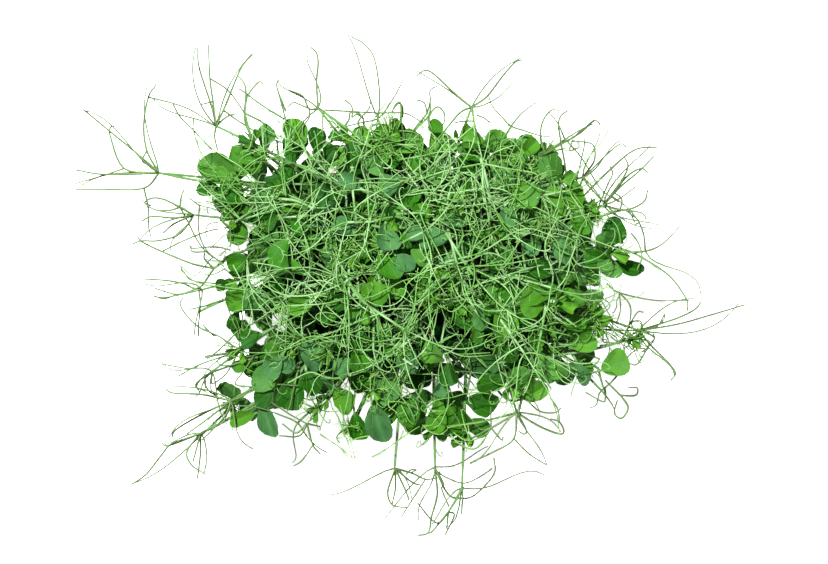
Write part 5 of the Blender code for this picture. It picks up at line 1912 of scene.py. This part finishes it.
# The same over the leaves of the near side, brighter
nearLayout = {
    **netLayout,
    "skin": "young",
    "sprays": (
        (98, (-14, -58, -13, -65, -10, -73), (-10, -73, -17, -73, -23, -73, -25, -76, -26, -79, -25, -84),
         (-10, -73, -1, -74, 6, -74, 12, -75), (-10, -73, -12, -78, -14, -84, -14, -89),
         (-10, -73, -16, -69, -21, -63), (-34, -69, -34, -76, -34, -83, -34, -90),
         (-35, -77, -32, -74, -28, -70, -29, -73, -33, -76, -36, -79), (31, -62, 30, -66, 28, -71),
         (34, -62, 38, -66, 44, -72), (12, -62, 16, -60, 25, -61, 44, -60),
         (14, -73, 17, -75, 23, -79, 26, -83, 27, -87), (14, -77, 17, -82, 20, -89),
         (1, -98, 7, -92, 13, -90, 20, -89, 27, -87, 36, -86, 44, -87),
         (0, -108, 6, -107, 8, -104, 14, -98, 21, -91), (0, -107, 4, -111, 9, -113, 14, -113),
         (14, -98, 9, -98, 4, -97), (16, -109, 25, -107, 34, -106, 44, -104),
         (18, -113, 22, -118, 27, -121, 32, -123, 38, -120, 42, -114),
         (20, -112, 28, -117, 36, -116, 44, -111), (25, -97, 27, -106, 30, -115, 30, -120, 28, -125),
         (-14, -94, -11, -100, -9, -104, -6, -107), (-22, -92, -15, -92, -8, -94, -2, -97),
         (-33, -128, -27, -125, -17, -118, -10, -113, -2, -108),
         (-67, -113, -61, -117, -55, -121, -51, -124, -45, -129),
         (-59, -96, -55, -102, -51, -113, -48, -120, -46, -129),
         (-54, -94, -51, -104, -48, -113, -44, -129), (-63, -98, -65, -104, -67, -110),
         (-46, -117, -40, -115, -34, -114), (-22, -91, -22, -95, -18, -98, -15, -102),
         (-14, -89, -17, -93, -22, -98)),
    ),
}


layout = {
    "branchDrift": (0.4, 1.3),
    "curlHeading": 0.5,
    "bedShare": 0.8,
    "stalkOverrun": 0.02,
}


def lifted(place, lift):
    # the place moved up or down without leaving the camera's line of sight
    share = (cameraPlace.z - place.z - lift) / (cameraPlace.z - place.z)
    return cameraPlace + (place - cameraPlace) * share


def sprayPaths(look, height, tendrils, source):
    # each tendril drifts up or down from where it starts, which may be a corner of an earlier one
    lifts = {}
    paths = []
    for numbers in tendrils:
        corners = list(zip(numbers[::2], numbers[1::2]))
        isMain = numbers[:2] == tendrils[0][:2]
        first = lifts.get(corners[0], 0)
        drift = between(source, *(look["tipLift"] if isMain else layout["branchDrift"]))
        last = drift if isMain else first * drift
        points = []
        for k, (x, y) in enumerate(corners):
            lift = first + (last - first) * k / (len(corners) - 1)
            lifts.setdefault((x, y), lift)
            points.append(lifted(Vector((x, y, height)) * mm, lift))
        paths.append(tapered(smoothLine(points, look["steps"]), look["radii" if isMain else "branchRadii"]))
    return paths


def addCurls(paths, look, source):
    # short curls along the laid-out tendrils
    for points, _ in list(paths):
        for _ in range(source.randint(*look["curls"])):
            k = source.randint(1, len(points) - 2)
            way = (points[k + 1] - points[k - 1]).normalized() * layout["curlHeading"] + anyWay(source)
            length = between(source, *look["curlLength"])
            curl = between(source, *look["curlTurns"])
            added = curlingPath(points[k], way, length, tendril["branchSteps"], source, curl)
            if isInside(added):
                paths.append(tapered(added, look["curlRadii"]))


def reachingStem(tip, way):
    # a slender stem from the nearest part of the bed to the tip
    u = 2 * tip.x / rule["bedLength"]
    v = 2 * tip.y / rule["bedWidth"]
    most = max(abs(u), abs(v))
    scale = min(rule["rootSpread"], most * layout["bedShare"]) / most
    root = bedPoint(u * scale, v * scale, 1, rule["stemFoot"])
    return root, bentStem(root + straightUp(rule["stemStraight"]), tip, way)


def stalkTube(corners, look):
    # a laid-out stalk, bent down among the leaves at each end that carries nothing
    over = layout["stalkOverrun"]
    for k, drop in zip((0, -1), look["stalkEnds"]):
        if drop:
            corners.insert(len(corners) * -k, lifted(corners[k] * (1 + over) - corners[1] * over, -drop))
    return tapered(smoothLine(corners, look["steps"]), look["stalkRadii"])


def dressLayout(name, look):
    source = draw(name)
    rolls = draw(name, "roll")
    up = straightUp(1)
    parts = []
    stems = []
    threads = []
    for height, *tendrils in look["sprays"]:
        threads += sprayPaths(look, height, tendrils, source)
        if look["isRooted"]:
            hub = Vector((*tendrils[0][:2], height)) * mm
            stems.append(stemTube(*reachingStem(hub, up), look["stemRadii"]))
    addCurls(threads, look, source)
    for corners in look["stalks"]:
        stems.append(stalkTube([Vector(corner) * mm for corner in corners], look))
    for *seat, heading, length, width, tone in look["leaves"]:
        seat = Vector(seat) * mm
        outward = levelWay(math.radians(heading))
        way = (outward + up * look["lean"]).normalized()
        stems.append(stemTube(*reachingStem(seat, way), look["stemRadii"]))
        shape = {
            "length": length * mm,
            "width": width,
            "rise": between(source, *look["leafRise"]),
            "droop": between(source, *look["leafDroop"]),
            "cup": between(source, *look["leafCup"]),
            "tone": tone,
        }
        roll = between(rolls, *look["leafRoll"])
        front = up.cross(outward) * math.cos(roll) + up * math.sin(roll)
        parts.append(placeBlade(seat, outward, front, outward.cross(front), shape, source))
    finishShoots(name, parts, stems, threads, [], look["skin"])


dressLayout("edgeShoots", edgeLayout)
dressLayout("middleShoots", middleLayout)
dressLayout("hookedShoots", hookLayout)
dressLayout("netShoots", netLayout)
dressLayout("frontShoots", nearLayout)
print("laid out the edge and the middle as in the photo")


# Tufts of young tendrils on top, laid out as in the photo

tuft = {
    "places": (
        ((20, 33, 112), 1.1), ((-50, 7, 108), 0.9), ((76, 29, 108), 1.0), ((-18, -55, 106), 0.8),
        ((112, 30, 100), 0.5), ((5, -20, 112), 0.8), ((64, 62, 104), 0.8), ((-40, 68, 104), 0.8),
        ((-104, 66, 98), 0.8), ((-118, 46, 96), 0.7), ((-20, 84, 100), 0.9), ((52, -45, 108), 0.9),
        ((138, -52, 86), 0.9), ((-88, -30, 100), 0.8), ((-62, -60, 100), 0.8),
        ((-69, -98, 86), 0.8), ((-48, -110, 80), 0.6), ((111, -42, 94), 0.9),
    ),
    "threads": 20,
    "outward": 4,
    "sway": 0.3,
    "stemRadii": (1.05 * mm, 0.7 * mm),
}


def dressTufts():
    source = draw("tufts")
    parts = []
    stems = []
    young = []
    for place, size in tuft["places"]:
        tip = Vector(place) * mm
        out = Vector((tip.x, tip.y, 0)) * tuft["outward"]
        way = (out + straightUp(1) + anyWay(source) * tuft["sway"]).normalized()
        root, stem = reachingStem(tip, way)
        stems.append(stemTube(root, stem, tuft["stemRadii"]))
        addTipBud(parts, young, stem, source, size)
        addTuft(young, tip, way, int(tuft["threads"] * size), source, size)
    finishShoots("tuftedShoots", parts, stems, [], young)


dressTufts()
for template in blades.values():
    bpy.data.objects.remove(template)
print(f"set {len(tuft['places'])} tufts on top")


# The seed bed: peas dented on top, over a felt of roots

pea = {
    "radius": 3.7 * mm,
    "spacing": 7.3 * mm,
    "rowSpacing": 0.87,
    "jitter": 0.7 * mm,
    "sizes": (0.85, 1.08),
    "top": 24.2 * mm,
    "topDepth": 2.2 * mm,
    "low": 18.0 * mm,
    "lowDepth": 1 * mm,
    "lowFrom": 0.86,
    "turn": 6.3,
    "segments": 8,
    "rings": 6,
    "dentFrom": 0.8,
    "dent": (0.8, 0.8, 0.72),
}
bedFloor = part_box("seed_bed")[0][2]


def makePea():
    segments, rings, radius = (pea[name] for name in ("segments", "rings", "radius"))
    bpy.ops.mesh.primitive_uv_sphere_add(segments=segments, ring_count=rings, radius=radius)
    seed = bpy.context.object
    bpy.ops.object.mode_set(mode="EDIT")
    bpy.ops.mesh.select_all(action="DESELECT")
    bpy.ops.object.mode_set(mode="OBJECT")
    for vertex in seed.data.vertices:
        vertex.select = vertex.co.z > pea["dentFrom"] * radius
    bpy.ops.object.mode_set(mode="EDIT")
    bpy.ops.transform.resize(value=pea["dent"], center_override=(0, 0, 0))
    bpy.ops.object.mode_set(mode="OBJECT")
    seed.data.materials.append(skins["pea"])
    bpy.ops.object.shade_smooth()
    return seed


def bedPlaces(low, high):
    # jittered places in staggered rows over the block's plan
    source = draw("peas")
    across = int(rule["bedLength"] / pea["spacing"])
    deep = int(rule["bedWidth"] / (pea["spacing"] * pea["rowSpacing"]))
    places = []
    for j in range(deep + 1):
        for i in range(across + 1):
            u = 2 * (i + 0.5 * (j % 2)) / (across + 0.5) - 1
            v = 2 * j / deep - 1
            place = bedPoint(u, v, 1 - 2 * pea["radius"] / rule["bedWidth"], between(source, low, high))
            place.x += between(source, -1, 1) * pea["jitter"]
            place.y += between(source, -1, 1) * pea["jitter"]
            places.append((place, max(abs(u), abs(v))))
    return places


def makePeas():
    seed = makePea()
    source = draw("pea turns")
    high = pea["top"] - pea["radius"]
    places = [place for place, _ in bedPlaces(high - pea["topDepth"], high)]
    lower = bedPlaces(pea["low"] - pea["lowDepth"], pea["low"])
    places += [place for place, share in lower if share > pea["lowFrom"]]
    seeds = []
    for place in places:
        copy = seed.data.copy()
        turn = Quaternion(anyWay(source), between(source, 0, pea["turn"])).to_matrix().to_4x4()
        size = Matrix.Diagonal((*[between(source, *pea["sizes"]) for _ in range(3)], 1))
        copy.transform(Matrix.Translation(place) @ turn @ size)
        setTone(copy, source.random())
        seeds.append(placedObject("pea", copy))
    bpy.data.objects.remove(seed)
    return joined(seeds, "sproutedPeas")


felt = {
    "cuts": 36,
    "beddingCuts": 22,
    "inset": 0.012,
    "sideFrom": 12,
    "topFrom": 0.99,
    "relief": 0.8 * mm,
    "grain": (160, 420),
    "fineShare": 0.6,
    "top": 19.5 * mm,
    "foot": 0.93,
    "footHeight": 14 * mm,
    "matRoots": 640,
    "matRim": (0.7 * mm, 0.5 * mm),
    "bedRoots": 120,
    "bedRim": 0.5 * mm,
    "bedTop": 20 * mm,
    "rootRadii": (0.42 * mm, 0.22 * mm),
    "rootSteps": 9,
    "rootSpan": (-0.5, 0.5),
    "rootDrop": (-6, 6),
    "rootInset": (0.004, 0.012),
    "wave": 0.9 * mm,
    "waveTurns": 9,
    "waveSeeds": 900,
}


def makeBlock(name, low, high, footScale, skin, cuts):
    # a felted block of the bed's plan between two heights
    bpy.ops.mesh.primitive_cube_add(size=2)
    block = bpy.context.object
    bpy.ops.object.mode_set(mode="EDIT")
    bpy.ops.mesh.select_all(action="SELECT")
    bpy.ops.mesh.subdivide(number_cuts=cuts)
    bpy.ops.object.mode_set(mode="OBJECT")
    for vertex in block.data.vertices:
        u, v, w = vertex.co
        t = (w + 1) / 2
        scale = footScale + (1 - footScale) * t - felt["inset"]
        place = bedPoint(u, v, scale, low + (high - low) * t)
        coarse, fine = (noise.noise(place * grain) for grain in felt["grain"])
        dip = felt["relief"] * (1 + coarse + felt["fineShare"] * fine)
        place -= Vector((u, v, 0)) * (max(abs(u), abs(v)) ** felt["sideFrom"]) * dip
        if w > felt["topFrom"]:
            place.z -= dip
        vertex.co = place
    block.data.materials.append(skins[skin])
    bpy.ops.object.shade_smooth_by_angle(angle=shared["blockSmoothing"])
    return joined([block], name)


def makeRoots(name, count, low, high):
    # roots that wander round the block's sides
    source = draw(name)
    paths = []
    for _ in range(count):
        turn = between(source, 0, 2 * math.pi)
        z = between(source, low, high)
        span = between(source, *felt["rootSpan"])
        drop = between(source, *felt["rootDrop"]) * mm
        points = []
        for i in range(felt["rootSteps"] + 1):
            t = i / felt["rootSteps"]
            angle = turn + span * t
            across = max(abs(math.cos(angle)), abs(math.sin(angle)))
            u = math.cos(angle) / across
            v = math.sin(angle) / across
            wave = math.sin(felt["waveTurns"] * t + z * felt["waveSeeds"]) * felt["wave"]
            height = min(max(z + drop * t + wave, low), high)
            share = min(1, height / felt["footHeight"])
            scale = felt["foot"] + (1 - felt["foot"]) * share - between(source, *felt["rootInset"])
            points.append(bedPoint(u, v, scale, height))
        paths.append(tapered(points, felt["rootRadii"]))
    return makeTubes(name, paths, shared["threadSides"], "root")


def makeSeedBed():
    bedding = makeBlock("bedding", bedFloor, felt["top"], 1, "bedding", felt["beddingCuts"])
    peas = makePeas()
    sides = makeRoots("bedRoots", felt["bedRoots"], bedFloor + felt["bedRim"], felt["bedTop"])
    piece = joined([peas, bedding, sides], "sproutedSeedBed")
    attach(piece, "root")
    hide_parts("seed_bed")


def makeRootMat():
    low, high = (Vector(corner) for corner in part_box("root_mat"))
    block = makeBlock("felt", low.z, high.z, felt["foot"], "mat", felt["cuts"])
    below, above = felt["matRim"]
    sides = makeRoots("matRoots", felt["matRoots"], below, high.z - above)
    piece = joined([block, sides], "rootFelt")
    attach(piece, "root")
    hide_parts("root_mat")


makeSeedBed()
makeRootMat()
print("laid the seed bed and the root mat")


# Floor, light and camera

studio = {
    "floorSize": 60,
    "lens": 66.9,
    "sensor": 36,
    "nearest": 0.01,
    "floorTint": tint(238, 238, 238),
    "floorGrain": tint(236, 236, 236),
    "floorGlow": 0.72,
    "grainScale": 300,
    "roughness": (0.7, 0.1),
    "relief": 0.02 * mm,
    "skyLight": 0.3,
    "keyPower": 48,
    "keySize": 0.04,
    "keyPlace": (-0.28, 0.36, 1.42),
    "fillPower": 5,
    "fillSize": 0.9,
    "fillPlace": (0.7, -0.5, 0.9),
}


def makeFloorSkin():
    look = studio
    skin = Finish("floorSkin", Specular_IOR_Level=0.2, Emission_Strength=look["floorGlow"])
    skin.shader.inputs["Emission Color"].default_value = (1, 1, 1, 1)
    place = skin.add("ShaderNodeTexCoord", None, None, "Object")
    grain = skin.noise(place, look["grainScale"], 2)
    colour = skin.mixed(look["floorTint"], look["floorGrain"], grain)
    return skin.show(look, colour, grain, grain)


def makeFloor():
    bpy.ops.mesh.primitive_plane_add(size=studio["floorSize"])
    floor = bpy.context.object
    floor.name = "floor"
    floor.data.materials.append(makeFloorSkin())


def makeSoftbox(name, place, power, size):
    light = bpy.data.lights.new(name, "AREA")
    light.energy = power
    light.size = size
    lamp = placedObject(name, light)
    lamp.location = place
    lamp.rotation_euler = (-Vector(place)).to_track_quat("-Z", "Y").to_euler()


def makeStudio():
    makeFloor()
    makeSoftbox("keyLight", studio["keyPlace"], studio["keyPower"], studio["keySize"])
    makeSoftbox("fillLight", studio["fillPlace"], studio["fillPower"], studio["fillSize"])
    world = bpy.data.worlds.new("studioAir")
    world.use_nodes = True
    sky = world.node_tree.nodes["Background"].inputs
    sky["Color"].default_value = (1, 1, 1, 1)
    sky["Strength"].default_value = studio["skyLight"]
    bpy.context.scene.world = world
    lens = bpy.data.cameras.new("camera")
    lens.lens = studio["lens"]
    lens.sensor_width = studio["sensor"]
    lens.clip_start = studio["nearest"]
    camera = placedObject("camera", lens)
    camera.location = cameraPlace
    bpy.context.scene.camera = camera
    bpy.context.scene.view_settings.view_transform = "Standard"


makeStudio()
print("set the floor, the light and the camera")
